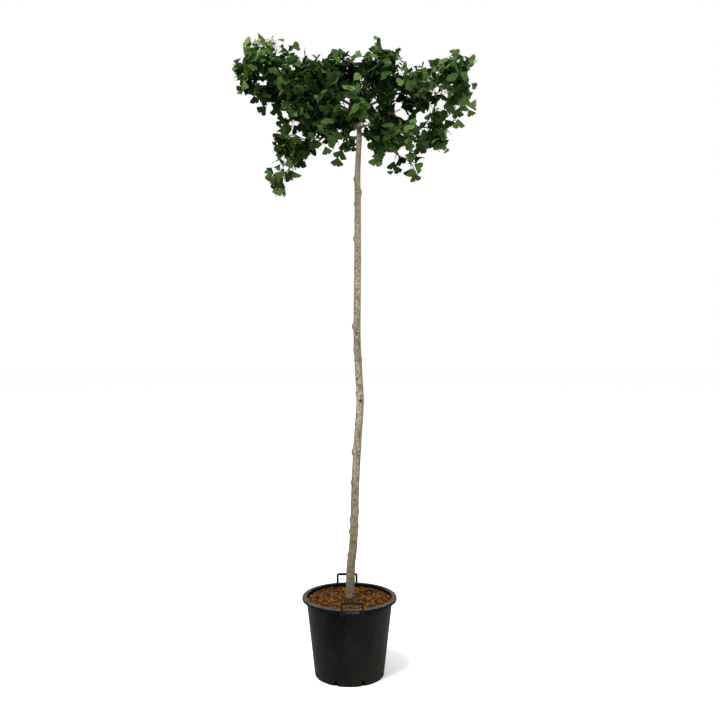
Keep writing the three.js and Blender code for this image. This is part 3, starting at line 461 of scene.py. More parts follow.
class Mass:
    """One leafy mass: its egg, its walls towards its neighbours, and what its bough starts from."""

    def __init__(
        self, index, name, centre, half, start, root, droop, parent=None, lean=0.0, entry=0.8,
        fill=1.0, light=0.0,
    ):
        self.index, self.name, self.parent, self.start = index, name, parent, start
        self.centre, self.half, self.lean = np.array(centre, float), np.array(half, float), lean
        self.root, self.droop, self.entry, self.fill, self.light = root, droop, entry, fill, light
        self.normals, self.limits = np.zeros((0, 3)), np.zeros(0)

    def measured(self, offset):
        """Offsets in the measure of the egg, where its surface is at length 1."""
        x, y, z = np.moveaxis(offset, -1, 0)
        return vectors(x - self.lean * z, y, z) / self.half

    def out(self, points):
        """How far out points lie: 0 at the egg's centre, 1 on its surface."""
        return np.linalg.norm(self.measured(points - self.centre), axis=-1)

    def depth(self, direction):
        """How far the egg's surface lies from its centre in a direction."""
        return 1 / np.linalg.norm(self.measured(direction), axis=-1)

    def add_wall(self, other):
        """Two eggs that meet share the plane square to the line between their centres."""
        normal = unit(other.centre - self.centre)
        distance = np.linalg.norm(other.centre - self.centre)
        mine, theirs = self.depth(normal), other.depth(normal)
        if mine + theirs > distance:
            meet = self.centre + normal * distance * mine / (mine + theirs)
            self.normals = np.vstack([self.normals, normal])
            self.limits = np.append(self.limits, normal @ meet - MASS_MARGIN)

    def holds(self, points, slack=0):
        """Whether points lie inside the egg and behind every wall, or at most `slack` outside."""
        in_egg = self.out(points) < 1 + slack / self.half.mean()
        return in_egg & (points @ self.normals.T < self.limits + slack).all(-1)

    def reach(self, points, directions):
        """The distance from points inside the space to its surface, along directions."""
        along, origin = self.measured(directions), self.measured(points - self.centre)
        a, b, c = (along**2).sum(-1), (along * origin).sum(-1), (origin**2).sum(-1) - 1
        distance = (-b + np.sqrt(np.maximum(b * b - a * c, 0))) / a
        speed = directions @ self.normals.T
        room = (self.limits - points @ self.normals.T) / np.where(speed > 1e-6, speed, 1)
        walls = np.where(speed > 1e-6, room, np.inf).min(-1, initial=np.inf)
        return np.maximum(np.minimum(distance, walls), 0)


def make_masses():
    """The masses in the table's order, with their shared walls and their boughs. Each bough
    leaves its parent's centre line, arches a little and ends inside its mass."""
    masses = {
        name: Mass(index, name, *row, **rest)
        for index, (name, (*row, rest)) in enumerate(MASSES.items())
    }
    for mass, other in permutations(masses.values(), 2):
        mass.add_wall(other)
    for mass in sorted(masses.values(), key=lambda mass: mass.parent is not None):
        parent = masses.get(mass.parent)
        start = parent.bough.at([mass.start])[0] if parent else trunk_at(mass.start)
        course = unit(mass.centre - start)
        tip = mass.centre - course * mass.depth(course) * mass.entry
        span = np.linalg.norm(tip - start)
        bend = (start + tip) / 2 + UP * (BOUGH["arch"] - mass.droop * span / 2)
        mass.bough = Limbs(start, bend, tip)
    return masses


def bough_chains(masses, rings):
    """All boughs as joints, with radii that taper evenly from root to tip."""
    joints = np.concatenate([mass.bough.joints(rings - 1) for mass in masses.values()])
    roots = np.array([mass.root for mass in masses.values()])[:, None]
    return joints, roots + (BOUGH["tip"] - roots) * np.linspace(0, 1, rings)


def limb_chains(masses):
    """The boughs and the trunk's top as chains of joints with a radius at each."""
    joints, radii = bough_chains(masses, 13)
    trunk = np.linspace(TRUNK_IN_CROWN, TRUNK_TIP, 13)
    thick = trunk_radius(trunk) + TRUNK_ROOM
    return np.concatenate([joints, trunk_at(trunk)[None]]), np.vstack([radii, thick])


def gap(points, joints, radii):
    """The clear distance from points to the nearest of some chains' straight spans.
    A span's nearest point is its start plus the clamped share where the offset is square to it."""
    heads = joints[:, :-1].reshape(-1, 3)
    steps = joints[:, 1:].reshape(-1, 3) - heads
    thick = np.maximum(radii[:, :-1], radii[:, 1:]).ravel()
    offset = points[..., None, :] - heads
    share = np.clip((offset * steps).sum(-1) / (steps**2).sum(-1), 0, 1)
    return (np.linalg.norm(offset - share[..., None] * steps, axis=-1) - thick).min(-1)


def stem_of(mass):
    """The stem goes on from the bough's tip, in its direction, across the mass's space."""
    start, heading = mass.bough.end[0], mass.bough.heading([1])[0]
    course = unit(mass.centre - start)
    depth = mass.depth(course)
    end = mass.centre + course * depth * STEM["reach"] - UP * mass.droop * depth * STEM["droop"]
    return Limbs(start, start + heading * np.linalg.norm(end - start) / 2, end)


def twigs_of(mass, count, limbs):
    """Twigs stand round the stem by the golden angle, the lowest widest, each ending short of the
    space's surface by its last leaf's room; one that would leave the space, or come too near a
    limb or an earlier twig, is left out. Returns the twigs, their keys and their lengths."""
    k = np.arange(count)
    last = k == count - 1
    turn, sway, short = [chance(mass.index, k, key) for key in (1, 2, 3)]
    share = np.where(last, 1, (k + 0.5) / count * STEM["twig_zone"])
    root, axis = mass.stem.at(share), mass.stem.heading(share)
    wide, narrow = TWIG["spread"]
    spread = np.radians(wide + (narrow - wide) * share + TWIG["spread_chance"] * (sway - 0.5))
    bearing = k * GOLDEN_ANGLE + TWIG["turn_chance"] * turn
    heading = parting(axis, bearing, np.where(last, 0, spread))
    room = mass.reach(root, heading) - TWIG["end_room"]
    size = (room * (1 - TWIG["length_chance"] * short))[:, None]
    end = root + heading * size - UP * mass.droop * size * TWIG["droop"]
    bend = root + heading * size * TWIG["bend_at"] + UP * TWIG["rise"] * size
    twigs = Limbs(root, bend, end)
    probes = twigs.joints(8)[:, 3:]
    kept = []
    for row in k:
        fits = size[row, 0] >= TWIG["shortest"] and mass.holds(probes[row]).all()
        fits = fits and (share_left(probes[row]) == 0).sum() < TWIG["open_joints"]
        fits = fits and (gap(probes[row], *limbs) > TWIG["limb_room"]).all()
        if fits and kept:
            thin = np.zeros((len(kept), probes.shape[1]))
            fits = gap(probes[row], probes[kept], thin).min() > TWIG["apart"]
        if fits:
            kept.append(row)
    return twigs.pick(kept), k[kept], size[kept, 0]


def shoots_of(mass, keys, sizes, count, limbs):
    """Side shoots stand round each twig by the golden angle, at even shares of its length."""
    order = np.repeat(np.arange(count), len(keys))
    rows = np.tile(np.arange(len(keys)), count)
    parents, k = mass.twigs.pick(rows), keys[rows]
    turn, wide, luck = [chance(mass.index, k, key + order) for key in (20, 30, 50)]
    share = (order + 1) / (count + SHOOT["past_last"])
    root, axis = parents.at(share), parents.heading(share)
    least, more = SHOOT["spread"]
    bearing = order * GOLDEN_ANGLE + k * SHOOT["turn"] + turn
    heading = parting(axis, bearing, np.radians(least + more * wide))
    room = np.minimum(mass.reach(root, heading) - SHOOT["end_room"], sizes[rows] * SHOOT["share"])
    size = np.clip(room, 0, SHOOT["longest"])[:, None]
    bend = root + heading * size / 2 + UP * SHOOT["rise"] * size
    shoots = Limbs(root, bend, root + heading * size)
    joints = shoots.joints(6)[:, 2:]
    clear = gap(joints, *limbs).min(-1) > TWIG["limb_room"]
    clear &= share_left(joints).min(-1) > luck
    kept = np.nonzero((size[:, 0] > SHOOT["shortest"]) & clear)[0]
    return shoots.pick(kept), k[kept] + 100 * (order[kept] + 1), size[kept, 0]


def sighted(x, z, y):
    """The point at depth y on the line of sight that passes through (x, 0, z)."""
    far, high = EYE
    scale = (far + y) / far
    return vectors(x * scale, y, high + (z - high) * scale)


def share_left(points):
    """The share of leaves that the crown keeps at points: 1, or less in an opening, each an
    ellipse in the line of sight."""
    far, high = EYE
    scale = far / (far + points[..., 1])
    x, z = points[..., 0] * scale, high + (points[..., 2] - high) * scale
    shares = [
        np.where(((x - across) / half_width) ** 2 + ((z - up) / half_height) ** 2 < 1, left, 1)
        for across, up, half_width, half_height, left in OPENINGS
    ]
    return np.min(shares, axis=0)


def leaf_table(along, face, **columns):
    """Leaves as a table with a row for each; the face is made square to the middle line."""
    face = squared(face, along)
    return dict(columns, along=along, face=face, across=np.cross(along, face))


def strays_of(mass, carriers):
    """The leaves that hang clear of a mass, each on a thin shoot from the nearest twig; returns
    the shoots and the leaves."""
    rows = np.array(STRAYS.get(mass.name, np.zeros((0, 3))), float)
    k = np.arange(len(rows))
    draw = [chance(mass.index, k, 110 + index) for index in range(8)]

    def between(name, index):
        least, more = STRAY[name]
        return least + more * draw[index]

    course = np.radians(rows[:, 2])
    near, deep = STRAY["depth"]
    base = sighted(rows[:, 0], rows[:, 1], mass.centre[1] + near + deep * (draw[0] - 0.5))
    along = unit(vectors(np.cos(course), STRAY["sway"] * (draw[1] - 0.5), np.sin(course)))
    jitter = (vectors(*draw[2:5]) - 0.5) * STRAY["stalk_chance"]
    stalk = unit(along + UP * STRAY["stalk_up"] + jitter)
    reach = between("reach", 5)
    root = base - stalk * reach[:, None]
    joints = carriers.joints(6)[:, 1:].reshape(-1, 3)
    nearest = joints[np.linalg.norm(root[:, None] - joints, axis=-1).argmin(1)]
    shoots = Limbs(nearest, (nearest + root) / 2 + UP * STRAY["arch"], root)
    face = vectors(STRAY["sway"] * (draw[6] - 0.5), -1, STRAY["face_up"])
    return shoots, leaf_table(
        along, face, root=root, stalk=stalk, base=base, reach=reach, radius=between("radius", 3),
        half=np.radians(between("half_angle", 7)), key=k + STRAY["first_key"],
        lot=0.25 + 0.6 * draw[2],
    )


def leaf_sites(sizes, crown):
    """Where leaves may sprout: twig row, number along the twig, number in the cluster and share
    of the twig's length."""
    counts = np.maximum(1, np.round(sizes * MM * crown.sites)).astype(int)
    row = np.repeat(np.arange(len(sizes)), counts * crown.cluster)
    along = np.concatenate([np.arange(count) for count in counts]).repeat(crown.cluster)
    member = np.tile(np.arange(crown.cluster), len(row) // crown.cluster)
    return row, along, member, 1 - along / counts[row] * LEAF["zone"]


def leaf_frames(mass, sprout, attempt, crown):
    """The attitudes of leaves: the stalk leaves the twig sideways, the blade hangs outwards and
    down, and its face looks out of the mass; chance and the number of the attempt vary it."""
    root, axis, key, along_twig, member = sprout
    seed = key * 31 + along_twig * 7 + member + attempt * 1013
    draw = [chance(mass.index, seed, 40 + index) for index in range(10)]
    turns = LEAF["turn_chance"] * draw[0] + key + LEAF["attempt_turn"] * attempt
    bearing = along_twig * GOLDEN_ANGLE + member * LEAF["cluster_turn"] + turns
    ending = ((along_twig == 0) & (member == 0))[:, None]
    aside, onwards, hang = [
        np.where(ending, *LEAF[name]) for name in ("stalk_aside", "stalk_along", "hang")
    ]
    stalk = unit(around(axis, bearing) * aside + axis * onwards + UP * LEAF["stalk_up"])
    reach = (crown.stalk + crown.stalk_chance * draw[1]) / MM
    outward = unit((root - EAST * CROWN_AXIS) * (1 - UP))
    jitter = (vectors(*draw[2:5]) - 0.5) * (LEAF["scatter"] + LEAF["attempt_jitter"] * attempt)
    along = unit(stalk * LEAF["onwards"] + outward * LEAF["outwards"] - UP * hang + jitter)
    look = LEAF["face"]
    face = unit(root - mass.centre) * look["mass"] + outward * look["out"] + UP * look["up"]
    face = face + (vectors(*draw[5:8]) - 0.5) * look["chance"]
    radius = (crown.blade + crown.blade_chance * draw[8] ** LEAF["small"]) / MM
    least, more = LEAF["half_angle"]
    return leaf_table(
        along, face, root=root, stalk=stalk, base=root + stalk * reach[:, None], reach=reach,
        radius=radius * (1 - LEAF["attempt_shrink"] * attempt),
        half=np.radians(least + more * draw[0]), key=key, lot=draw[9],
    )


def blade_outline(leaf):
    """Points on flat blades' edges: base + distance x radius towards a bearing."""
    angle = (BLADE[:, 0] * leaf["half"][:, None])[..., None]
    arm = (BLADE[:, 1] * leaf["radius"][:, None])[..., None]
    along, across = leaf["along"][:, None], leaf["across"][:, None]
    return leaf["base"][:, None] + arm * (np.cos(angle) * along + np.sin(angle) * across)


def leaves_of(mass, twigs, keys, sizes, crown, limbs):
    """Every site is tried in several attitudes until its leaf keeps to the space, clear of the
    limbs and of the other leaves."""
    row, along_twig, member, share = leaf_sites(sizes, crown)
    carriers, key = twigs.pick(row), keys[row]
    root, axis = carriers.at(share), carriers.heading(share)
    x, y, z = root.T / LEAF["clump"]
    clumps = LEAF["least_clump"] + (mottle(x, z, 31) + mottle(y, z + x, 37)) / 2
    thinned = 1 - LEAF["thin"] * smooth(LEAF["thin_from"], 1, mass.out(root))
    site, luck = [chance(key, along_twig * 5 + member, seed) for seed in (43, 47)]
    open_sites = np.nonzero(site < mass.fill * thinned * clumps)[0]
    middles, grown = np.zeros((0, 3)), []
    for attempt in range(LEAF["tries"]):
        sprout = [column[open_sites] for column in (root, axis, key, along_twig, member)]
        leaf = leaf_frames(mass, sprout, attempt, crown)
        edge = blade_outline(leaf)
        middle = edge.mean(1)
        probes = np.concatenate([leaf["base"][:, None], edge], 1)
        in_sight = np.concatenate([probes, (leaf["base"] + leaf["root"])[:, None] / 2], 1)
        fits = mass.holds(probes, CROWN_SLACK).all(-1)
        fits &= share_left(in_sight).min(-1) > luck[open_sites]
        fits &= (leaf["stalk"] * leaf["along"]).sum(-1) > LEAF["straightness"]
        clear = gap(probes[fits], *limbs).min(-1) > LEAF["room"]
        taken = []
        for number in np.nonzero(fits)[0][clear]:
            near = np.linalg.norm(middles - middle[number], axis=-1)
            if near.min(initial=np.inf) > LEAF["apart"]:
                middles = np.vstack([middles, middle[number]])
                taken.append(number)
        grown.append({name: column[taken] for name, column in leaf.items()})
        open_sites = np.delete(open_sites, taken)
    return {name: np.concatenate([part[name] for part in grown]) for name in grown[0]}


@lru_cache(maxsize=1)
def grow(crown):
    """The whole crown by the seeded rule: boughs, and each mass's stem, twigs and leaves."""
    masses = make_masses()
    limbs = limb_chains(masses)
    for mass in masses.values():
        mass.stem = stem_of(mass)
        mass.twigs, keys, sizes = twigs_of(mass, crown.twigs, limbs)
        mass.shoots, more_keys, more_sizes = shoots_of(mass, keys, sizes, crown.shoots, limbs)
        carriers = mass.twigs.joined(mass.shoots)
        keys, sizes = np.append(keys, more_keys), np.append(sizes, more_sizes)
        inner = leaves_of(mass, carriers, keys, sizes, crown, limbs)
        mass.stray_shoots, strays = strays_of(mass, carriers)
        mass.leaves = {name: np.concatenate([inner[name], strays[name]]) for name in inner}
    return masses


def grown_crown(context):
    """The crown for the sizes that the user has set."""
    return grow(Crown(*[getattr(context.scene.plant_crown, name) for name in Crown._fields]))


# ------------------------------------------------------------------ meshes from arrays
def grid_faces(rows, columns, wrap):
    """Quads of a grid of points, row after row; with wrap the last column meets the first."""
    row, column = np.divmod(np.arange((rows - 1) * (columns - (not wrap))), columns - (not wrap))
    low, after = row * columns, (column + 1) % columns
    return vectors(low + column, low + after, low + columns + after, low + columns + column)


class Shape:
    """Points and faces gathered as arrays, with a UV place for every point."""

    def __init__(self):
        self.points, self.places, self.faces, self.total = [], [], [], 0

    def add(self, points, faces, places=None):
        """Adds points with the faces that number them from 0."""
        points = np.asarray(points, float).reshape(-1, 3)
        self.points.append(points)
        self.places.append(np.zeros((len(points), 2)) if places is None else places)
        self.faces += [np.asarray(part) + self.total for part in faces if len(part)]
        self.total += len(points)
        return self

    def add_many(self, points, faces, places=None):
        """Adds a stack of like bodies, all with the same faces; the stack may be empty."""
        first = np.arange(len(points))[:, None, None] * int(np.prod(points.shape[1:-1]))
        return self.add(points, [(faces[None] + first).reshape(-1, faces.shape[1])], places)

    def add_rings(self, rings, foot, tip):
        """Adds a skin over rings of points, closed at either end by a fan about one point."""
        rows, columns = rings.shape[:2]
        side = np.arange(columns)
        after, high, end = (side + 1) % columns, (rows - 1) * columns, rows * columns
        fans = vectors(end, after, side), vectors(end + 1, high + side, high + after)
        points = np.vstack([rings.reshape(-1, 3), foot, tip])
        return self.add(points, [grid_faces(rows, columns, True), *fans])

    def absorb(self, other):
        """Takes over another shape's points and faces."""
        return self.add(np.concatenate(other.points), other.faces, np.concatenate(other.places))

    def piece(self, name, finish, sharp=None, marks={}):
        """Makes the mesh and its object; a sharp angle splits the shading, marks are attributes."""
        old = bpy.data.objects.get(name)
        if old:
            bpy.data.objects.remove(old)
        points, places = np.concatenate(self.points), np.concatenate(self.places)
        corners = np.concatenate([part.ravel() for part in self.faces])
        sizes = np.concatenate([np.full(len(part), part.shape[1]) for part in self.faces])
        mesh = bpy.data.meshes.new(name)
        mesh.vertices.add(len(points))
        mesh.vertices.foreach_set("co", points.astype(np.float32).ravel())
        mesh.loops.add(len(corners))
        mesh.loops.foreach_set("vertex_index", corners.astype(np.int32))
        mesh.polygons.add(len(sizes))
        mesh.polygons.foreach_set("loop_start", (np.cumsum(sizes) - sizes).astype(np.int32))
        mesh.update(calc_edges=True)
        uv = mesh.uv_layers.new(name="UVMap").uv
        uv.foreach_set("vector", places[corners].astype(np.float32).ravel())
        for mark, values in marks.items():
            layer = mesh.attributes.new(mark, "FLOAT", "POINT")
            layer.data.foreach_set("value", np.asarray(values, np.float32).ravel())
        if mesh.validate():
            raise RuntimeError(f"{name} has faces that don't hold together")
        mesh.shade_smooth()
        if sharp is not None:
            mesh.set_sharp_from_angle(angle=np.radians(sharp))
        mesh.materials.append(finish)
        made = bpy.data.objects.new(name, mesh)
        bpy.context.scene.collection.objects.link(made)
        return made


def tubes(joints, radii, sides):
    """Round limbs, many at once, in millimetres: a ring of `sides` points about every joint, each
    ring square to the limb, and a point that closes each end. joints: limbs x rings x 3, radii:
    limbs x rings, or rings alike for all limbs."""
    limbs, rings = joints.shape[:2]
    joints, radii = joints * MM, np.broadcast_to(radii, (limbs, rings)) * MM
    tangent = unit(np.gradient(joints, axis=1))
    flat = np.cross(joints[:, rings // 2] - joints[:, 0], joints[:, -1] - joints[:, 0])
    bowed = np.linalg.norm(flat, axis=-1, keepdims=True) > 1e-9
    flat = np.where(bowed, unit(flat), cross_frame(tangent[:, 0])[0])[:, None]
    first = squared(flat, tangent)
    second = np.cross(tangent, first)
    angle = bearings(sides)[:, None]
    spoke = first[:, :, None] * np.cos(angle) + second[:, :, None] * np.sin(angle)
    skin = joints[:, :, None] + spoke * radii[:, :, None, None]
    start = np.arange(limbs)[:, None] * rings * sides
    walls = grid_faces(rings, sides, True)[None] + start[..., None]
    foot_end, tip_end = limbs * rings * sides + np.arange(2 * limbs).reshape(2, limbs, 1)
    side = np.arange(sides)
    after, high = (side + 1) % sides, start + (rings - 1) * sides
    foot = vectors(foot_end, start + after, start + side)
    tip = vectors(tip_end, high + side, high + after)
    bulge = tangent[:, -1] * radii[:, -1:]
    points = np.concatenate([skin.reshape(-1, 3), joints[:, 0], joints[:, -1] + bulge])
    along = np.arange(rings)[:, None] / (rings - 1)
    places = np.tile(vectors(angle[:, 0] / FULL_TURN, along).reshape(-1, 2), (limbs, 1))
    places = np.concatenate([places, np.zeros((limbs, 2)), np.ones((limbs, 2))])
    faces = [part.reshape(-1, part.shape[-1]) for part in (walls, foot, tip)]
    return Shape().add(points, faces, places)


def seat(piece, slot, *nodes):
    """Rides a finished piece on the plant and hides the plain nodes it stands for; slot is not used.
    """
    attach(piece, "root")
    if nodes:
        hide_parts(*nodes)


# ------------------------------------------------------------------ finishes
class Field:
    """A number that varies over a surface: a socket that takes part in Python arithmetic."""

    def __init__(self, finish, socket):
        self.finish, self.socket = finish, socket

    def _math(self, operation, *values):
        return self.finish.node("Math", {"operation": operation}, dict(enumerate(values)))

    def __add__(self, other):
        return self._math("ADD", self, other)

    def __sub__(self, other):
        return self._math("SUBTRACT", self, other)

    def __rsub__(self, other):
        return self._math("SUBTRACT", other, self)

    def __mul__(self, other):
        return self._math("MULTIPLY", self, other)

    __radd__, __rmul__ = __add__, __mul__

    def sine(self):
        """The sine of the field."""
        return self._math("SINE", self)

    def ramp(self, low, high, start=0.0, end=1.0):
        """The S-curve that goes from start to end while the field goes from low to high."""
        values = {"Value": self, "From Min": low, "From Max": high, "To Min": start, "To Max": end}
        return self.finish.node("MapRange", {"interpolation_type": "SMOOTHSTEP"}, values)


class Finish:
    """One material under construction around a Principled surface."""

    def __init__(self, name, specular):
        self.material = bpy.data.materials.get(name) or bpy.data.materials.new(name)
        self.material.use_nodes = True
        self.tree = self.material.node_tree
        self.tree.nodes.clear()
        self.surface = self.tree.nodes.new("ShaderNodeBsdfPrincipled")
        output = self.tree.nodes.new("ShaderNodeOutputMaterial")
        self.tree.links.new(self.surface.outputs["BSDF"], output.inputs["Surface"])
        self.surface.inputs["Specular IOR Level"].default_value = specular

    def put(self, socket, value):
        """Sets a socket to a constant, or links a field to it."""
        if isinstance(value, Field):
            self.tree.links.new(value.socket, socket)
        elif socket.type == "RGBA":
            socket.default_value = (*value, 1.0)
        else:
            socket.default_value = value

    def node(self, kind, settings, values, output=0):
        """Adds a node: its settings first, then the values or links of its sockets."""
        node = self.tree.nodes.new("ShaderNode" + kind)
        for name, value in settings.items():
            setattr(node, name, value)
        for name, value in values.items():
            self.put(node.inputs[name], value)
        return Field(self, node.outputs[output])

    def place(self, stretch=(1, 1, 1), turn=(0, 0, 0)):
        """Object coordinates in metres, stretched and turned by a Mapping node."""
        here = self.node("TexCoord", {}, {}, "Object")
        return self.node("Mapping", {}, {"Vector": here, "Scale": stretch, "Rotation": turn})

    def noise(self, scale, detail=3.0, roughness=0.55, stretch=(1, 1, 1), turn=(0, 0, 0), warp=0.0):
        """Cloudy noise in 0..1, `scale` blobs to a metre."""
        values = {
            "Vector": self.place(stretch, turn), "Scale": scale, "Detail": detail,
            "Roughness": roughness, "Distortion": warp,
        }
        return self.node("TexNoise", {}, values, "Fac")

    def grains(self, scale):
        """Cells of random value in 0..1, `scale` cells to a metre."""
        cells = self.node("TexVoronoi", {}, {"Vector": self.place(), "Scale": scale}, "Color")
        return self.node("SeparateColor", {}, {"Color": cells})

    def coordinate(self, axis):
        """How far along one axis of the plant's frame, in metres."""
        here = self.node("TexCoord", {}, {}, "Object")
        return self.node("SeparateXYZ", {}, {"Vector": here}, axis)

    def across_leaf(self, axis):
        """The leaf's own place: X across the fan, Y from stalk to edge."""
        place = self.node("UVMap", {"uv_map": "UVMap"}, {})
        return self.node("SeparateXYZ", {}, {"Vector": place}, axis)

    def mark(self, name):
        """A number kept on the mesh's points."""
        return self.node("Attribute", {"attribute_name": name}, {}, "Fac")

    def blend(self, share, first, second):
        """A colour between two, by a field in 0..1."""
        return self.node("Mix", {"data_type": "RGBA"}, {0: share, 6: first, 7: second}, 2)

    def coats(self, base, *coats):
        """A colour under coats, each a field in 0..1, a colour and its factor."""
        for share, colour, factor in coats:
            base = self.blend(share, base, tint(colour, factor))
        return base

    def done(self, colour, roughness, relief=None, depth=0.0):
        """Sets what varies over the surface, the relief as a bump in metres between the field's
        0 and 1; returns the material."""
        values = {"Base Color": colour, "Roughness": roughness}
        if relief:
            values["Normal"] = self.node("Bump", {}, {"Height": relief, "Distance": depth})
        for name, value in values.items():
            self.put(self.surface.inputs[name], value)
        return self.material


def tint(colour, factor):
    """A colour made lighter or darker."""
    return tuple(float(channel) * factor for channel in colour)


def pot_finish(colours):
    """Charcoal plastic with a fine moulded grain, faint upright streaks, scuffs and dry dust that
    thickens down the wall. The rim's top face is paler with dust and a painted highlight, kept dark at
    the back by painted shade; the left and right sides are paler with dust and painted sheen; and a
    painted shadow keeps a dark band under the rim."""
    finish = Finish("pot_plastic", 0.025)
    streaks = finish.noise(9, 4, 0.6, (1, 1, 0.12))
    specks = finish.noise(420, 2, 0.7)
    scuffs = finish.noise(26, 5, 0.7, (1, 1, 2.6), warp=1.4)
    smears = finish.noise(34, 4, 0.65)
    across, deep, height = [finish.coordinate(axis) for axis in "XYZ"]
    # Painted shade: the rim's top keeps its paleness at the front and loses most of it towards the
    # back.
    front_lit_back_shaded = deep.ramp(0.03, 0.19, 1.0, 0.22)
    # The rim's top face is paler: dust mottled by smears, and a painted highlight where the light
    # falls on it.
    rim = height.ramp(0.3625, 0.3667) * (0.42 + smears.ramp(0.3, 0.7) * 0.8) * front_lit_back_shaded
    splash = height.ramp(0.32, 0.0, 0.0, 0.04) + height.ramp(0.05, 0.0, 0.0, 0.06) * streaks
    # Paler towards the left and right sides as seen from the front: dust and painted sheen.
    aside = across.ramp(-0.08, -0.19) * 0.05 + across.ramp(-0.06, 0.17) * 0.06
    smeared = streaks.ramp(0.4, 0.7) * 0.04 + smears.ramp(0.45, 0.7) * 0.04
    film = smeared + scuffs.ramp(0.58, 0.74) * 0.06
    # Painted shadow: the wall's dust fades out above 0.325 m, leaving a dark band under the rim.
    wall = (splash + aside + film + specks.ramp(0.55, 0.8) * 0.02) * height.ramp(0.353, 0.325)
    # Share of dust, with the rim's painted highlight, the sides' painted sheen and the painted shadow
    # under the rim folded in.
    dusty = rim + wall
    colour = finish.blend(dusty, colours.pot, colours.dust_and_sheen)
    return finish.done(colour, 0.46 + dusty * 0.3 + specks * 0.1, specks + scuffs * 0.8, 0.0004)


def bracket_finish(colours):
    """The brackets' smooth dark plastic with a painted blue-grey highlight across the plates' upper
    part; the lower part stays dark as painted shade.
    """
    finish = Finish("bracket_plastic", 0.06)
    across, height = finish.coordinate("X"), finish.coordinate("Z")
    highlight_mottle = finish.noise(45, 4, 0.65)
    specks = finish.noise(420, 2, 0.7)
    # Painted highlight on the plates between the handle's legs, cut off below 0.35 m by painted shade.
    plate_highlight = across.ramp(-0.036, -0.005) * across.ramp(0.05, 0.038) * height.ramp(0.35, 0.357)
    rub_and_highlight = plate_highlight * highlight_mottle.ramp(0.35, 0.65) * 0.75 + specks.ramp(0.55, 0.8) * 0.05
    colour = finish.blend(rub_and_highlight, colours.handle, colours.rub_and_highlight)
    return finish.done(colour, 0.5 + highlight_mottle * 0.2, specks, 0.0003)


def handle_finish(colours):
    """Dark bar plastic, smoother where hands rub it, with a little dust."""
    finish = Finish("handle_plastic", 0.07)
    rub_and_highlight = finish.noise(35, 3)
    specks = finish.noise(600, 2, 0.7)
    dusty = specks.ramp(0.5, 0.8) * 0.12 + rub_and_highlight.ramp(0.5, 0.8) * 0.1
    colour = finish.blend(dusty, colours.handle, tint(colours.dust_and_sheen, 0.6))
    return finish.done(colour, 0.34 + rub_and_highlight * 0.2, specks, 0.0002)


def soil_finish(colours):
    """Crumbly moist bark and coir: dark pits between red-brown crumbs and pale fibres."""
    finish = Finish("bark_substrate", 0.02)
    crumbs = finish.noise(150, 6, 0.7, warp=0.8)
    cells = finish.grains(230)
    fibres = finish.noise(120, 3, 0.6, (1, 5, 5), (0.3, 0.2, 0.8), 1.0)
    fibrous = finish.coats(
        tint(colours.soil, 0.35),
        (crumbs.ramp(0.35, 0.7), colours.soil, 1.5),
        (cells.ramp(0.72, 0.95) * 0.6, colours.chip, 0.7),
        (fibres.ramp(0.62, 0.75) * 0.5, colours.chip, 1.3),
    )
    # Painted shade: below 0.3 m the substrate turns nearly black, as inside the pot behind the drain
    # slots.
    above_painted_shade = finish.coordinate("Z").ramp(0.3, 0.335)
    colour = finish.blend(above_painted_shade, tint(colours.soil, 0.06), fibrous)
    return finish.done(colour, 0.8 + crumbs * 0.18, crumbs + cells * 0.5, 0.004)


def chip_finish(name, colours, factor):
    """Split bark: long fibres, a darker weathered side and a dry sheen."""
    finish = Finish(name, 0.02)
    fibre = finish.noise(900, 3, 0.6, (1, 0.35, 1), (0, 0, 0.6))
    patch = finish.noise(240, 3)
    colour = finish.coats(
        tint(colours.chip, factor * 0.6),
        (fibre.ramp(0.3, 0.7), colours.chip, factor),
        (patch.ramp(0.5, 0.7) * 0.6, colours.soil, factor),
    )
    return finish.done(colour, 0.72 + patch * 0.2, fibre, 0.0006)


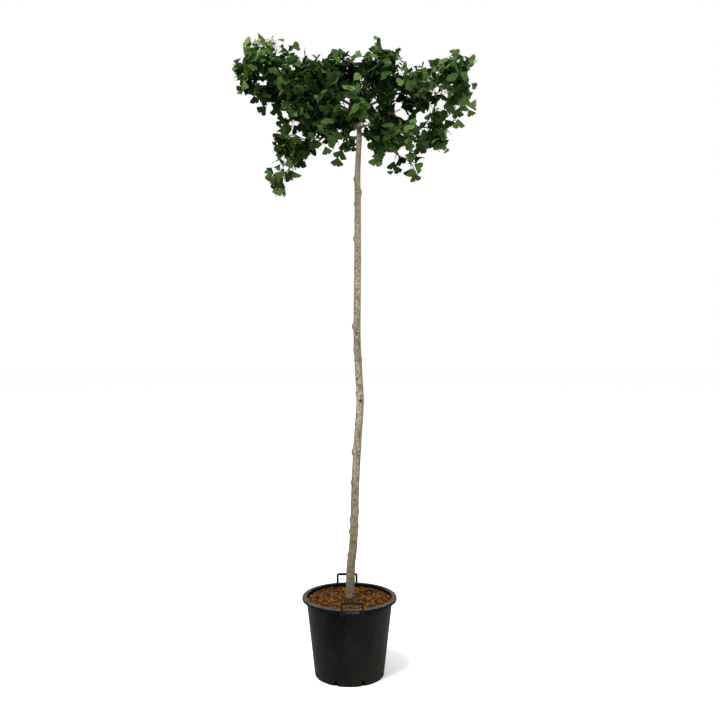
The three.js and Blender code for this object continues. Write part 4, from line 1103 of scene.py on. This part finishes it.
def bark_finish(colours):
    """The trunk's bark: pale grey-beige ridges over brown fissures, clouded with grey and ochre,
    smoother towards the crown and paler there with painted light against the crown's shade, brown
    round the knots and at the foot, crossed by fine lenticels, and darkened green-grey on both flanks
    as painted shade at the edges seen from the front."""
    finish = Finish("trunk_bark", 0.05)
    bark, fissure = colours.bark, colours.fissure
    hollow, knot, flank = [finish.mark(name) for name in ("hollow", "knot", "flank")]
    clouds = finish.noise(14, 4, 0.6, (1, 1, 0.4))
    patches = finish.noise(80, 4, 0.7, (1, 1, 0.7), warp=0.6)
    flecks = finish.noise(210, 4, 0.72, (1, 1, 0.6))
    rings = finish.noise(60, 3, 0.6, (0.4, 0.4, 3.0), warp=0.6)
    height = finish.coordinate("Z")
    rugged = height.ramp(1.7, 2.25, 1.0, 0.5)
    colour = finish.coats(
        tint(bark, 1.22),
        # Painted light: paler from 1.7 m up, against the shade that the crown casts.
        (height.ramp(1.7, 2.3), bark, 1.18),
        (clouds.ramp(0.4, 0.64) * rugged, bark, 0.7),
        (patches.ramp(0.46, 0.62) * rugged * 0.8, fissure, 1.05),
        (flecks.ramp(0.48, 0.62) * rugged * 0.75, fissure, 0.9),
        (flecks.ramp(0.46, 0.34) * rugged * 0.7, bark, 2.2),
        (rings.ramp(0.58, 0.68) * 0.55, fissure, 0.8),
        (hollow * (0.1 + flecks * 0.5), fissure, 0.7),
        # Painted shade: the flanks seen from the front are darkened to a green-grey.
        (flank.ramp(0.7, 1.0) * 0.75, colours.flank_shade, 1),
        (height.ramp(1.15, 0.5) * 0.52 + knot * 0.4, fissure, 1.25),
        (height.ramp(0.42, 0.35) * patches.ramp(0.36, 0.6) * 0.45, fissure, 0.8),
        (knot.ramp(0.4, 0.7) * 0.9, fissure, 0.16),
    )
    return finish.done(colour, 0.78 + flecks * 0.16, flecks + patches + rings * 0.7, 0.0013)


def young_bark_finish(name, colours, factor):
    """Young bark: smoother and browner, with fine lengthwise wrinkles and pale lenticels."""
    finish = Finish(name, 0.05)
    wrinkles = finish.noise(132, 3, 0.6, warp=0.8)
    lenticels = finish.noise(480, 2, 0.6)
    colour = finish.coats(
        tint(colours.young_bark, factor * 0.6),
        (wrinkles.ramp(0.35, 0.7), colours.young_bark, factor * 1.25),
        (lenticels.ramp(0.66, 0.8) * 0.5, colours.bark, 0.9),
    )
    return finish.done(colour, 0.66 + wrinkles * 0.2, wrinkles + lenticels * 0.4, 0.0008)


def leaf_finish(name, base):
    """A leaf of one plain green with a faint bloom, and veins that run out from the stalk and
    fork half way: ridges of the sine of the place across the fan, twice as many further out."""
    finish = Finish(name, 0.018)
    across, outwards = finish.across_leaf("X"), finish.across_leaf("Y")
    inner, outer = [(across * (FULL_TURN * veins)).sine() * 0.5 + 0.5 for veins in (18, 36)]
    forked = outwards.ramp(0.4, 0.6)
    veins = inner * (1 - forked) + outer * forked
    bloom = finish.noise(90, 2)
    colour = finish.coats(
        tint(base, 0.86),
        (bloom.ramp(0.3, 0.75), base, 1.14),
        (veins.ramp(0.75, 1.0) * 0.16, base, 1.5),
    )
    return finish.done(colour, 0.5 + bloom * 0.16, veins, 0.0003)


def floor_finish():
    """A plain pale floor with the faintest mottling."""
    finish = Finish("studio_floor", 0.1)
    return finish.done(finish.blend(finish.noise(1.5, 2), [0.97] * 3, [0.99] * 3), 0.85)


# ------------------------------------------------------------------ pot and handles
def turned(points, angle):
    """Points turned about the upright axis."""
    c, s = np.cos(angle), np.sin(angle)
    return points @ np.array([[c, s, 0], [-s, c, 0], [0, 0, 1]])


def arc(across, up, radius, start, end, steps):
    """Points of an arc about (across, up), angles in degrees."""
    angle = np.radians(np.linspace(start, end, steps + 1))
    return vectors(across + radius * np.cos(angle), up + radius * np.sin(angle))


def pot_skin(sizes):
    """The pot: its closed outline in (radius, height), turned round the axis. Underside, wall with
    a foot belt, the rolled rim's inside and outside, its nearly flat top, the inner wall and the
    floor, every edge rounded by an arc."""
    names = ("foot_radius", "wall_radius", "rim_radius", "wall", "height", "rim_depth")
    foot, side, rim, wall, top, hang = [getattr(sizes, name) / MM for name in names]
    low = top - hang
    rise = np.linspace(0.03, 1, 9) * low
    belt = 0.35 * (smooth(0.05, 0.07, rise / low) - 1)
    parts = [
        [(0.0, 0.0), (foot * 0.5, 0.0), (foot - 12, 0.0)],
        arc(foot - 3, 3, 3, -90, -8, 4),
        vectors(foot + (side - foot) / low * rise + belt, rise),
        arc(side + 4, top - wall - 4, 3, 180, 90, 3),
        arc(rim - wall - 4, top - wall - 4, 4, 90, 0, 4),
        [(rim - wall, low + 3)],
        arc(rim - wall / 2, low + wall / 2, wall / 2, 180, 360, 6),
        [(rim + 0.1, low + 5)],
        arc(rim - 6, top - 6, 6, 0, 90, 6),
        [(rim - 12, top - 0.5), (side + 2, top - 0.3)],
        arc(side - wall + 2.2, top - 2.2, 2.2, 90, 180, 4),
        [(side - wall, low), (foot - wall + 1, wall + 8)],
        arc(foot - wall - 5, wall + 6, 6, 0, -90, 4),
        [(foot * 0.5, wall), (0.0, wall)],
    ]
    radius, height = np.concatenate(parts).T[..., None] * MM
    rings = ring(radius[1:-1], bearings(192), height[1:-1])
    return Shape().add_rings(rings, (0, 0, height[0, 0]), (0, 0, height[-1, 0]))


def add_block(shape, low, high, edge, turn):
    """Adds a block with rounded edges, given in millimetres: rounded rectangles, drawn in along a
    quarter circle below and above, then turned about the upright axis."""
    low, high = np.array(low), np.array(high)
    middle, half = (low + high) / 2, (high - low) / 2
    swing = np.radians(np.linspace(0, 90, 4))
    early, late = edge * (1 - np.cos(swing)), edge * (1 - np.sin(swing))
    inset, level = np.append(late, early), np.append(low[2] + early, high[2] - late)
    corner = np.repeat([(1, 1), (-1, 1), (-1, -1), (1, -1)], 5, axis=0)
    angle = np.radians(np.repeat([0, 90, 180, 270], 5) + np.tile(np.linspace(0, 90, 5), 4))
    flat = corner * (half[:2] - edge) + edge * vectors(np.cos(angle), np.sin(angle))
    drawn = middle[:2] + flat - inset[:, None, None] * corner
    ends = [np.array([*middle[:2], end]) for end in (low[2], high[2])]
    skin = vectors(*np.moveaxis(drawn, -1, 0), level[:, None])
    shape.add_rings(*[turned(part, turn) * MM for part in (skin, *ends)])


def bracket_skin():
    """Both handles' brackets, each two lugs and the plate between them, and the stops at the sides."""
    shape = Shape()
    for _, side, _ in HANDLES.values():
        for block in (*LUGS, PLATE):
            add_block(shape, *block, side + HANDLE_TURN)
    for side in (0, np.pi):
        add_block(shape, *STOP, side + HANDLE_TURN)
    return shape


def cut_drains(piece, sizes):
    """Opens the drain slots through the wall's foot and the base's edge."""
    cutter = Shape()
    foot, half = sizes.foot_radius / MM, sizes.drain_width / MM / 2
    low = (foot - DRAINS["depth"], -half, -DRAINS["below"])
    high = (foot + DRAINS["depth"], half, sizes.drain_height / MM)
    for turn in bearings(DRAINS["count"]) + np.radians(DRAINS["first"]):
        add_block(cutter, low, high, DRAINS["edge"], turn)
    tool = cutter.piece("drain_cutter", piece.data.materials[0])
    slots = piece.modifiers.new("Drains", "BOOLEAN")
    slots.operation, slots.solver, slots.object = "DIFFERENCE", "EXACT", tool
    bpy.context.view_layer.update()
    solved = piece.evaluated_get(bpy.context.evaluated_depsgraph_get())
    cut = bpy.data.meshes.new_from_object(solved)
    piece.modifiers.clear()
    piece.data = cut
    bpy.data.objects.remove(tool)


def handle_path(lean, side):
    """The handle bar's middle line: leg, quarter arc, grip, quarter arc, leg, all in one plane
    that leans outwards and stands on the rim's edge."""
    span, top, bend = HANDLE["half_span"], HANDLE["length"], HANDLE["bend"]
    before = bend + HANDLE["gap"]
    leg = vectors(span, np.linspace(0, top - before, 7))
    grip = vectors(np.linspace(span - before, 0, 6), top)
    half = np.concatenate([leg, arc(span - bend, top - bend, bend, 0, 90, 7), grip])
    across, up = np.concatenate([half, half[-2::-1] * (-1, 1)]).T
    path = vectors(across, up * np.sin(lean), up * np.cos(lean))
    return turned(path + (0, HANDLE["stand_off"], HANDLE["foot"]), side + HANDLE_TURN)


# ------------------------------------------------------------------ root ball and chips
def substrate_level(x, y, sizes):
    """The substrate's top: a low dome from edge to trunk, heaped a little round the trunk's foot,
    with lumps of 26, 9 and 4 mm."""
    share = np.clip(np.hypot(x, y) / (sizes.wall_radius - sizes.wall), 0, 1)
    dome = sizes.soil_edge + (sizes.soil_crown - sizes.soil_edge) * (1 - share)
    dome = dome + sizes.heap * np.exp(-((share / 0.4) ** 2))
    lumps = sum(
        rise * mottle(x / (size * MM), y / (size * MM), seed)
        for size, rise, seed in ((26, 3.2, 3), (9, 2.2, 5), (4, 1.2, 7))
    )
    settled = 1 - smooth(0.93, 1.0, share) * 0.6
    return dome + (lumps - 2.2) * settled * MM


def root_ball(sizes):
    """The root ball: base, tapering wall and lumpy top, as rings round the axis."""
    filled = sizes.soil_edge / (sizes.height - sizes.rim_depth)
    outside = sizes.foot_radius + (sizes.wall_radius - sizes.foot_radius) * filled
    wall = outside - sizes.wall - 0.5 * MM
    foot = sizes.foot_radius - sizes.wall - 2.3 * MM
    floor = sizes.wall + 0.3 * MM
    bearing, up = bearings(240), np.linspace(0, 1, 5)[:, None]
    level = floor + (sizes.soil_edge - 3 * MM - floor) * up
    sides = ring(foot + (wall - foot) * up, bearing, level)
    top = ring(wall * np.linspace(0.998, 0.012, 120)[:, None], bearing, 0)
    top[..., 2] = substrate_level(top[..., 0], top[..., 1], sizes)
    middle = (0, 0, substrate_level(0.0, 0.0, sizes))
    return Shape().add_rings(np.concatenate([sides, top]), (0, 0, floor), middle)


def bark_chips(sizes):
    """Loose split chips: each a short bar of four sides whose ends narrow and whose middle is
    bent, tilted and turned by chance; returns points (chip x station x corner) and a tone."""
    k = np.arange(sizes.chips)
    long, wide, deep, way, yaw, out, pitch, roll, above, head, tail, bent = [
        chance(k, 17, 60 + index) for index in range(12)
    ]
    length = (5 + 15 * long**2) * MM
    width, thick = (1.5 + 2.6 * wide) * MM, (0.8 + 1.2 * deep) * MM
    bearing, yaw = way * FULL_TURN, yaw * FULL_TURN
    room = sizes.wall_radius - sizes.wall - 3 * MM
    limit = room - length / 2 * np.abs(np.cos(yaw - bearing)) - width / 2
    pitch, roll = (pitch - 0.5) * 0.75, (roll - 0.5) * 1.1
    middle = ring(np.minimum(np.sqrt(0.015 + 0.985 * out) * room, limit), bearing, 0)
    lifted = thick / 2 + above**2 * 5 * MM + np.abs(pitch) * length / 4
    middle[:, 2] = substrate_level(middle[:, 0], middle[:, 1], sizes) + lifted
    course = ring(np.cos(pitch), yaw, np.sin(pitch))
    flat = vectors(-np.sin(yaw), np.cos(yaw), 0)
    side = flat * np.cos(roll)[:, None] + np.cross(course, flat) * np.sin(roll)[:, None]
    narrow = vectors(0.45 + 0.4 * head, 1, 0.4 + 0.45 * tail)
    along = np.array([-1, 0.1, 1]) * length[:, None] / 2
    bend = vectors(0, (bent - 0.5) * 0.22 * length, 0)
    spine = middle[:, None] + course[:, None] * along[..., None] + side[:, None] * bend[..., None]
    corners = np.array([(1, 1), (-1, 1), (-1, -1), (1, -1)]) / 2
    points = spine[:, :, None]
    for way, size, share in zip((side, np.cross(course, side)), (width, thick), corners.T):
        spread = share * (size[:, None] * narrow)[..., None]
        points = points + way[:, None, None] * spread[..., None]
    return points, chance(k, 23, 71)


# ------------------------------------------------------------------ trunk, boughs and twigs
def knot_swell(z, bearing):
    """How far the knots swell the trunk, and how near a knot's scar a place is (0..1). A knot is
    a bell over the distance up and round the trunk, with a dimple and ripples in its middle."""
    swell, scar = np.zeros_like(z), np.zeros_like(z)
    for height, degrees, most, tall in TRUNK_KNOTS:
        rise = (z - height) / tall
        chord = 2 * trunk_radius(height) * np.sin((bearing - np.radians(degrees)) / 2)
        off = rise**2 + (chord / (0.9 * tall)) ** 2
        near = np.exp(-4 * off)
        scar = np.maximum(scar, near)
        swell += most * (np.exp(-off) - 0.32 * np.exp(-14 * off))
        swell += most * 0.09 * np.sin(11 * np.sqrt(off)) * near
    return swell, scar


def trunk_skin(sizes):
    """The trunk: rings about its drifting middle line. Radius = taper x root ribs + knots +
    relief; the relief is the fold |2n - 1| of a random field stretched lengthwise, so thin
    fissures part broad ridges that run slowly round the trunk, with finer flakes on top."""
    foot = TRUNK_FOOT - TRUNK_BURIED
    count = int((TRUNK_TIP - foot) * MM / sizes.ring_gap)
    z = np.linspace(foot, TRUNK_TIP, count)[:, None]
    z, bearing = np.broadcast_arrays(z, bearings(sizes.sides))
    turn = bearing / FULL_TURN
    ribs = ROOT_RIBS["swell"] * np.exp(-(z - TRUNK_FOOT) / ROOT_RIBS["fade"])
    flare = 1 + ribs * np.cos(ROOT_RIBS["count"] * bearing + ROOT_RIBS["turn"])
    swell, scar = knot_swell(z, bearing)
    fold = np.abs(2 * mottle(turn * 9 + z / 170, z / 46, 11, 9) - 1)
    small = np.abs(2 * mottle(turn * 16 - z / 120, z / 19, 13, 16) - 1)
    flakes = mottle(turn * 36, z / 6.5, 17, 36)
    hollow = 1 - smooth(0.03, 0.34, fold) * smooth(0.02, 0.22, small)
    age = 1 - 0.55 * smooth(700, 2300, z)
    relief = sizes.ridge / MM * age * (0.35 - hollow + 0.3 * flakes)
    rings = trunk_at(z) + ring(trunk_radius(z) * flare + swell + relief, bearing, 0)
    ends = trunk_at(foot), trunk_at(TRUNK_TIP) + UP * TRUNK_CAP
    # flank marks how near a place is to the trunk's left and right edges seen from the front, where
    # the bark paints shade.
    marks = {"hollow": hollow * age, "knot": scar, "flank": np.abs(np.cos(bearing))}
    marks = {name: np.append(value.ravel(), (0, 0)) for name, value in marks.items()}
    return Shape().add_rings(*[part * MM for part in (rings, *ends)]), marks


def bough_skins(masses):
    """The boughs: tapering tubes that swell into a collar at the root and wander a little in
    thickness, each closed at both ends."""
    joints, radii = bough_chains(masses, BOUGH["rings"])
    run = np.linalg.norm(np.diff(joints, axis=1, prepend=joints[:, :1]), axis=-1).cumsum(1)
    number = np.arange(len(run))[:, None] + 0 * run
    collar = 1 + BOUGH["collar"] * np.exp(-run / BOUGH["fade"])
    wander = 1 + BOUGH["wander"] * (mottle(run / 17, number, 19) - 0.5)
    return tubes(joints, radii * collar * wander, BOUGH["sides"])


def twig_skins(masses):
    """Stems, twigs, shoots and the knobbly spurs that carry the leaves."""
    shape = Shape()
    for mass in masses.values():
        kinds = [
            (mass.stem, STEM, 14, 8), (mass.twigs, TWIG, 9, 6), (mass.shoots, SHOOT, 6, 5),
            (mass.stray_shoots, SHOOT, 6, 5),
        ]
        for limbs, sizes, rings, sides in kinds:
            if len(limbs.start):
                taper = sizes["root"] + (sizes["tip"] - sizes["root"]) * np.linspace(0, 1, rings)
                nodes = 1 + SPUR["swell"] * np.cos(np.arange(rings) * SPUR["ripple"])
                shape.absorb(tubes(limbs.joints(rings - 1), taper * nodes, sides))
        root, stalk = mass.leaves["root"], mass.leaves["stalk"]
        spurs = Limbs(root, root + stalk * SPUR["bend"], root + stalk * SPUR["end"])
        shape.absorb(tubes(spurs.joints(2), SPUR["radii"], 5))
    return shape


# ------------------------------------------------------------------ leaves
def leaf_faces():
    """The faces of one blade: a grid seen from above, the same grid turned over below, and both
    share the points along the outline."""
    rows, columns = len(LEAF_OUTWARDS), len(LEAF_ACROSS)
    above = np.arange(rows * columns).reshape(rows, columns)
    below = above.copy()
    inner = below[1:-1, 1:-1]
    inner[:] = rows * columns + np.arange(inner.size).reshape(inner.shape)
    quads = grid_faces(rows, columns, False)
    return np.concatenate([above.ravel()[quads], below.ravel()[quads][:, ::-1]])


def leaf_blades(leaf, thickness):
    """Blades as fans: a point lies at v x edge(u) x radius from the base, at u x half angle from
    the middle line. Each is lifted off its plane by a cup (u squared), a fall towards the edge
    (v squared) and a ripple along the edge (a sine of u), by chance, and has a thickness that
    runs out to nothing at the outline."""
    count = len(leaf["lot"])
    seed, k = np.floor(leaf["lot"] * 9973), np.arange(count) % 97
    draw = [chance(seed, k, 80 + index)[:, None, None] for index in range(10)]
    along, across, face, base = [
        leaf[name][:, None, None] for name in ("along", "across", "face", "base")
    ]
    radius, half_angle = leaf["radius"][:, None, None], leaf["half"][:, None, None]
    u, v = LEAF_ACROSS, LEAF_OUTWARDS[:, None]
    scallop = 0.045 * np.sin(u * (7 + 5 * draw[0]) + draw[1] * FULL_TURN)
    scallop = scallop + 0.025 * np.sin(u * (15 + 3 * draw[8]) + draw[9] * FULL_TURN)
    notch = 0.26 * (draw[2] - 0.55) * np.exp(-((u / 0.15) ** 2))
    arm = v * (LEAF_EDGE + (scallop + notch) * v**2) * radius
    cup = (draw[3] - 0.42) * 0.6 * u**2 * v
    fall = -(0.04 + 0.28 * draw[4]) * v**2
    ripple = 0.055 * np.sin(u * (5 + 4 * draw[5]) + draw[6] * FULL_TURN) * v**2
    fold = (draw[7] - 0.5) * 0.36 * np.abs(u) * v
    lift = (cup + fall + ripple + fold) * radius
    ahead, aside = arm * np.cos(u * half_angle), arm * np.sin(u * half_angle)
    middle = base + ahead[..., None] * along + aside[..., None] * across + lift[..., None] * face
    above = middle.copy()
    above[:, 1:-1, 1:-1] += face * thickness / 2
    below = middle[:, 1:-1, 1:-1] - face * thickness / 2
    sheets = [part.reshape(count, part.shape[1] * part.shape[2], 3) for part in (above, below)]
    points = np.concatenate(sheets, 1)
    place = vectors((u + 1) / 2, v)
    places = np.concatenate([place.reshape(-1, 2), place[1:-1, 1:-1].reshape(-1, 2)])
    return points, np.tile(places, (count, 1))


def leaf_stalks(leaf):
    """Slender stalks from the spur to the blade, bent to leave along the blade's middle line."""
    start = leaf["root"] + leaf["stalk"] * SPUR["bend"]
    end = leaf["base"] + leaf["along"] * leaf["radius"][:, None] * 0.06
    bend = leaf["base"] - leaf["along"] * leaf["reach"][:, None] * 0.25
    return tubes(Limbs(start, bend, end).joints(4), STALK_RADII, 4)


def leaf_tones(mass):
    """Each spray's tone: painted shade deep inside the crown and its mass, painted light further out
    and in masses given painted light, mixed with the spray's own chance and a little of the leaf's;
    returns the number of the tone for every leaf."""
    leaf = mass.leaves
    out = np.linalg.norm((leaf["base"] - CROWN_MIDDLE) / CROWN_HALF, axis=-1)
    deep = 1 - np.minimum(mass.out(leaf["base"]), 1)
    spray = chance(leaf["key"] % 100, mass.index, 90)
    # Painted light and shade: outer leaves lighter, leaves deep in their mass darker, plus each mass's
    # painted light; the spray's and the leaf's chance vary it.
    shine = 0.5 * out - 0.45 * deep + 0.3 * spray + 0.2 * leaf["lot"] + mass.light
    return np.searchsorted(TONE_STEPS, shine)


# ------------------------------------------------------------------ operators
class PLANT_OT_stage(Operator):
    """Set up the pale floor, the soft light and the camera"""

    bl_idname = "plant.stage"
    bl_label = "Stage"

    def execute(self, context):
        scene = context.scene
        corners = np.array([(-1, -1, 0), (1, -1, 0), (1, 1, 0), (-1, 1, 0)]) * FLOOR_HALF
        floor = Shape().add(corners, [np.array([[0, 1, 2, 3]])])
        floor.piece("studio_floor", floor_finish())
        for name, (place, aim, size, power) in LAMPS.items():
            light = bpy.data.lights.new(name, "AREA")
            light.size, light.energy = size, power
            lamp = bpy.data.objects.new(name, light)
            lamp.location = place
            look = Vector(aim) - Vector(place)
            lamp.rotation_euler = look.to_track_quat("-Z", "Y").to_euler()
            scene.collection.objects.link(lamp)
        scene.world = scene.world or bpy.data.worlds.new("studio")
        scene.world.use_nodes = True
        sky = scene.world.node_tree.nodes["Background"]
        sky.inputs["Color"].default_value = (1.0, 1.0, 1.0, 1.0)
        sky.inputs["Strength"].default_value = 1.0
        lens = bpy.data.cameras.new("studio_camera")
        lens.lens, lens.sensor_width = CAMERA["lens"], CAMERA["sensor"]
        lens.shift_x, lens.shift_y = CAMERA["shift"]
        camera = bpy.data.objects.new("studio_camera", lens)
        camera.location = CAMERA["place"]
        camera.rotation_euler = (np.radians(90), 0.0, 0.0)
        scene.collection.objects.link(camera)
        scene.camera = camera
        scene.view_settings.view_transform = "Standard"
        return {"FINISHED"}


class PLANT_OT_pot(Operator):
    """Mould the pot with its rolled rim, brackets and drain slots"""

    bl_idname = "plant.pot"
    bl_label = "Pot"

    def execute(self, context):
        sizes, colours = context.scene.plant_pot, context.scene.plant_colours
        pot = pot_skin(sizes).piece("pot_moulded", pot_finish(colours), sharp=40)
        cut_drains(pot, sizes)
        fittings = bracket_skin().piece("pot_brackets", bracket_finish(colours), sharp=40)
        seat(pot, "pot_plastic", "pot")
        seat(fittings, "pot_plastic", "pot")
        return {"FINISHED"}


class PLANT_OT_handles(Operator):
    """Bend the two handle bars"""

    bl_idname = "plant.handles"
    bl_label = "Handles"

    def execute(self, context):
        finish = handle_finish(context.scene.plant_colours)
        sizes = context.scene.plant_pot
        for node, (lean, side, thickness) in HANDLES.items():
            path = handle_path(lean, side)
            step = np.arange(len(path))
            grip = smooth(15, 16.2, np.minimum(step, step[::-1]))
            radii = sizes.bar_radius + (sizes.grip_radius - sizes.bar_radius) * grip
            bar = tubes(path[None], radii * thickness / MM, 20)
            seat(bar.piece(f"{node}_bar", finish, sharp=50), "handle_plastic", node)
        return {"FINISHED"}


class PLANT_OT_substrate(Operator):
    """Fill the pot with the root ball and scatter bark chips over it"""

    bl_idname = "plant.substrate"
    bl_label = "Substrate"

    def execute(self, context):
        sizes, colours = context.scene.plant_pot, context.scene.plant_colours
        ball = root_ball(sizes).piece("root_ball", soil_finish(colours))
        seat(ball, "bark_substrate", "soil")
        points, tone = bark_chips(sizes)
        faces = np.concatenate([grid_faces(3, 4, True), [(3, 2, 1, 0), (8, 9, 10, 11)]])
        for name, (low, high, factor) in CHIP_TONES.items():
            chips = Shape().add_many(points[(tone >= low) & (tone < high)], faces)
            finish = chip_finish(f"bark_chips_{name}", colours, factor)
            seat(chips.piece(f"bark_chips_{name}", finish, sharp=30), "bark_substrate")
        return {"FINISHED"}


class PLANT_OT_trunk(Operator):
    """Grow the trunk with its bark, knots, root flare and graft"""

    bl_idname = "plant.trunk"
    bl_label = "Trunk"

    def execute(self, context):
        shape, marks = trunk_skin(context.scene.plant_wood)
        finish = bark_finish(context.scene.plant_colours)
        seat(shape.piece("trunk_skin", finish, marks=marks), "trunk_bark", "trunk")
        return {"FINISHED"}


class PLANT_OT_boughs(Operator):
    """Grow the boughs that carry the leafy masses"""

    bl_idname = "plant.boughs"
    bl_label = "Boughs"

    def execute(self, context):
        masses = grown_crown(context)
        finish = young_bark_finish("bough_bark", context.scene.plant_colours, 1.1)
        boughs = bough_skins(masses).piece("boughs", finish)
        seat(boughs, "bough_bark", *[f"bough_{name}" for name in masses])
        return {"FINISHED"}


class PLANT_OT_twigs(Operator):
    """Grow stems, twigs, side shoots and leafy spurs"""

    bl_idname = "plant.twigs"
    bl_label = "Twigs"

    def execute(self, context):
        masses = grown_crown(context)
        finish = young_bark_finish("twig_bark", context.scene.plant_colours, 0.85)
        twigs = twig_skins(masses).piece("twigs", finish)
        seat(twigs, "bough_bark", *[f"foliage_{name}" for name in masses])
        return {"FINISHED"}


class PLANT_OT_leaves(Operator):
    """Grow the leaves, each tone of green from painted shade to painted light in a piece of its own"""

    bl_idname = "plant.leaves"
    bl_label = "Leaves"

    def execute(self, context):
        masses = grown_crown(context)
        thickness = context.scene.plant_crown.thickness / MM
        for number, tone in enumerate(TONES):
            shape = Shape()
            for mass in masses.values():
                rows = leaf_tones(mass) == number
                leaf = {name: column[rows] for name, column in mass.leaves.items()}
                points, places = leaf_blades(leaf, thickness)
                shape.add_many(points * MM, leaf_faces(), places).absorb(leaf_stalks(leaf))
            base = getattr(context.scene.plant_colours, f"leaf_{tone}")
            leaves = shape.piece(f"leaves_{tone}", leaf_finish(f"leaf_{tone}", base), sharp=70)
            seat(leaves, "leaf_green", *[f"foliage_{name}" for name in masses])
        return {"FINISHED"}


class PLANT_PT_maker(Panel):
    """Lists the plant's pieces and the sizes and colours they take"""

    bl_idname = "PLANT_PT_maker"
    bl_label = "Potted ginkgo"
    bl_space_type = "VIEW_3D"
    bl_region_type = "UI"
    bl_category = "Ginkgo"

    def draw(self, context):
        for step in STEPS:
            self.layout.operator(step.bl_idname)
        for group in GROUPS:
            box = self.layout.box()
            held = getattr(context.scene, group)
            for name in held.bl_rna.properties.keys():
                if name not in {"rna_type", "name"}:
                    box.prop(held, name)


GROUPS = {
    "plant_pot": PlantPotSizes,
    "plant_wood": PlantWoodSizes,
    "plant_crown": PlantCrownSizes,
    "plant_colours": PlantColours,
}
STEPS = (
    PLANT_OT_stage, PLANT_OT_pot, PLANT_OT_handles, PLANT_OT_substrate, PLANT_OT_trunk,
    PLANT_OT_boughs, PLANT_OT_twigs, PLANT_OT_leaves,
)
CLASSES = (*GROUPS.values(), *STEPS, PLANT_PT_maker)


def register():
    """Makes the operators, the panel and the scene's settings known to Blender."""
    for kind in CLASSES:
        bpy.utils.register_class(kind)
    for name, kind in GROUPS.items():
        setattr(bpy.types.Scene, name, PointerProperty(type=kind))


def unregister():
    """Takes them out again."""
    for name in GROUPS:
        delattr(bpy.types.Scene, name)
    for kind in reversed(CLASSES):
        bpy.utils.unregister_class(kind)


def main():
    """Builds the stage and every piece."""
    register()
    bpy.ops.plant.stage()
    bpy.ops.plant.pot()
    bpy.ops.plant.handles()
    bpy.ops.plant.substrate()
    bpy.ops.plant.trunk()
    bpy.ops.plant.boughs()
    bpy.ops.plant.twigs()
    bpy.ops.plant.leaves()


if __name__ == "__main__":
    main()
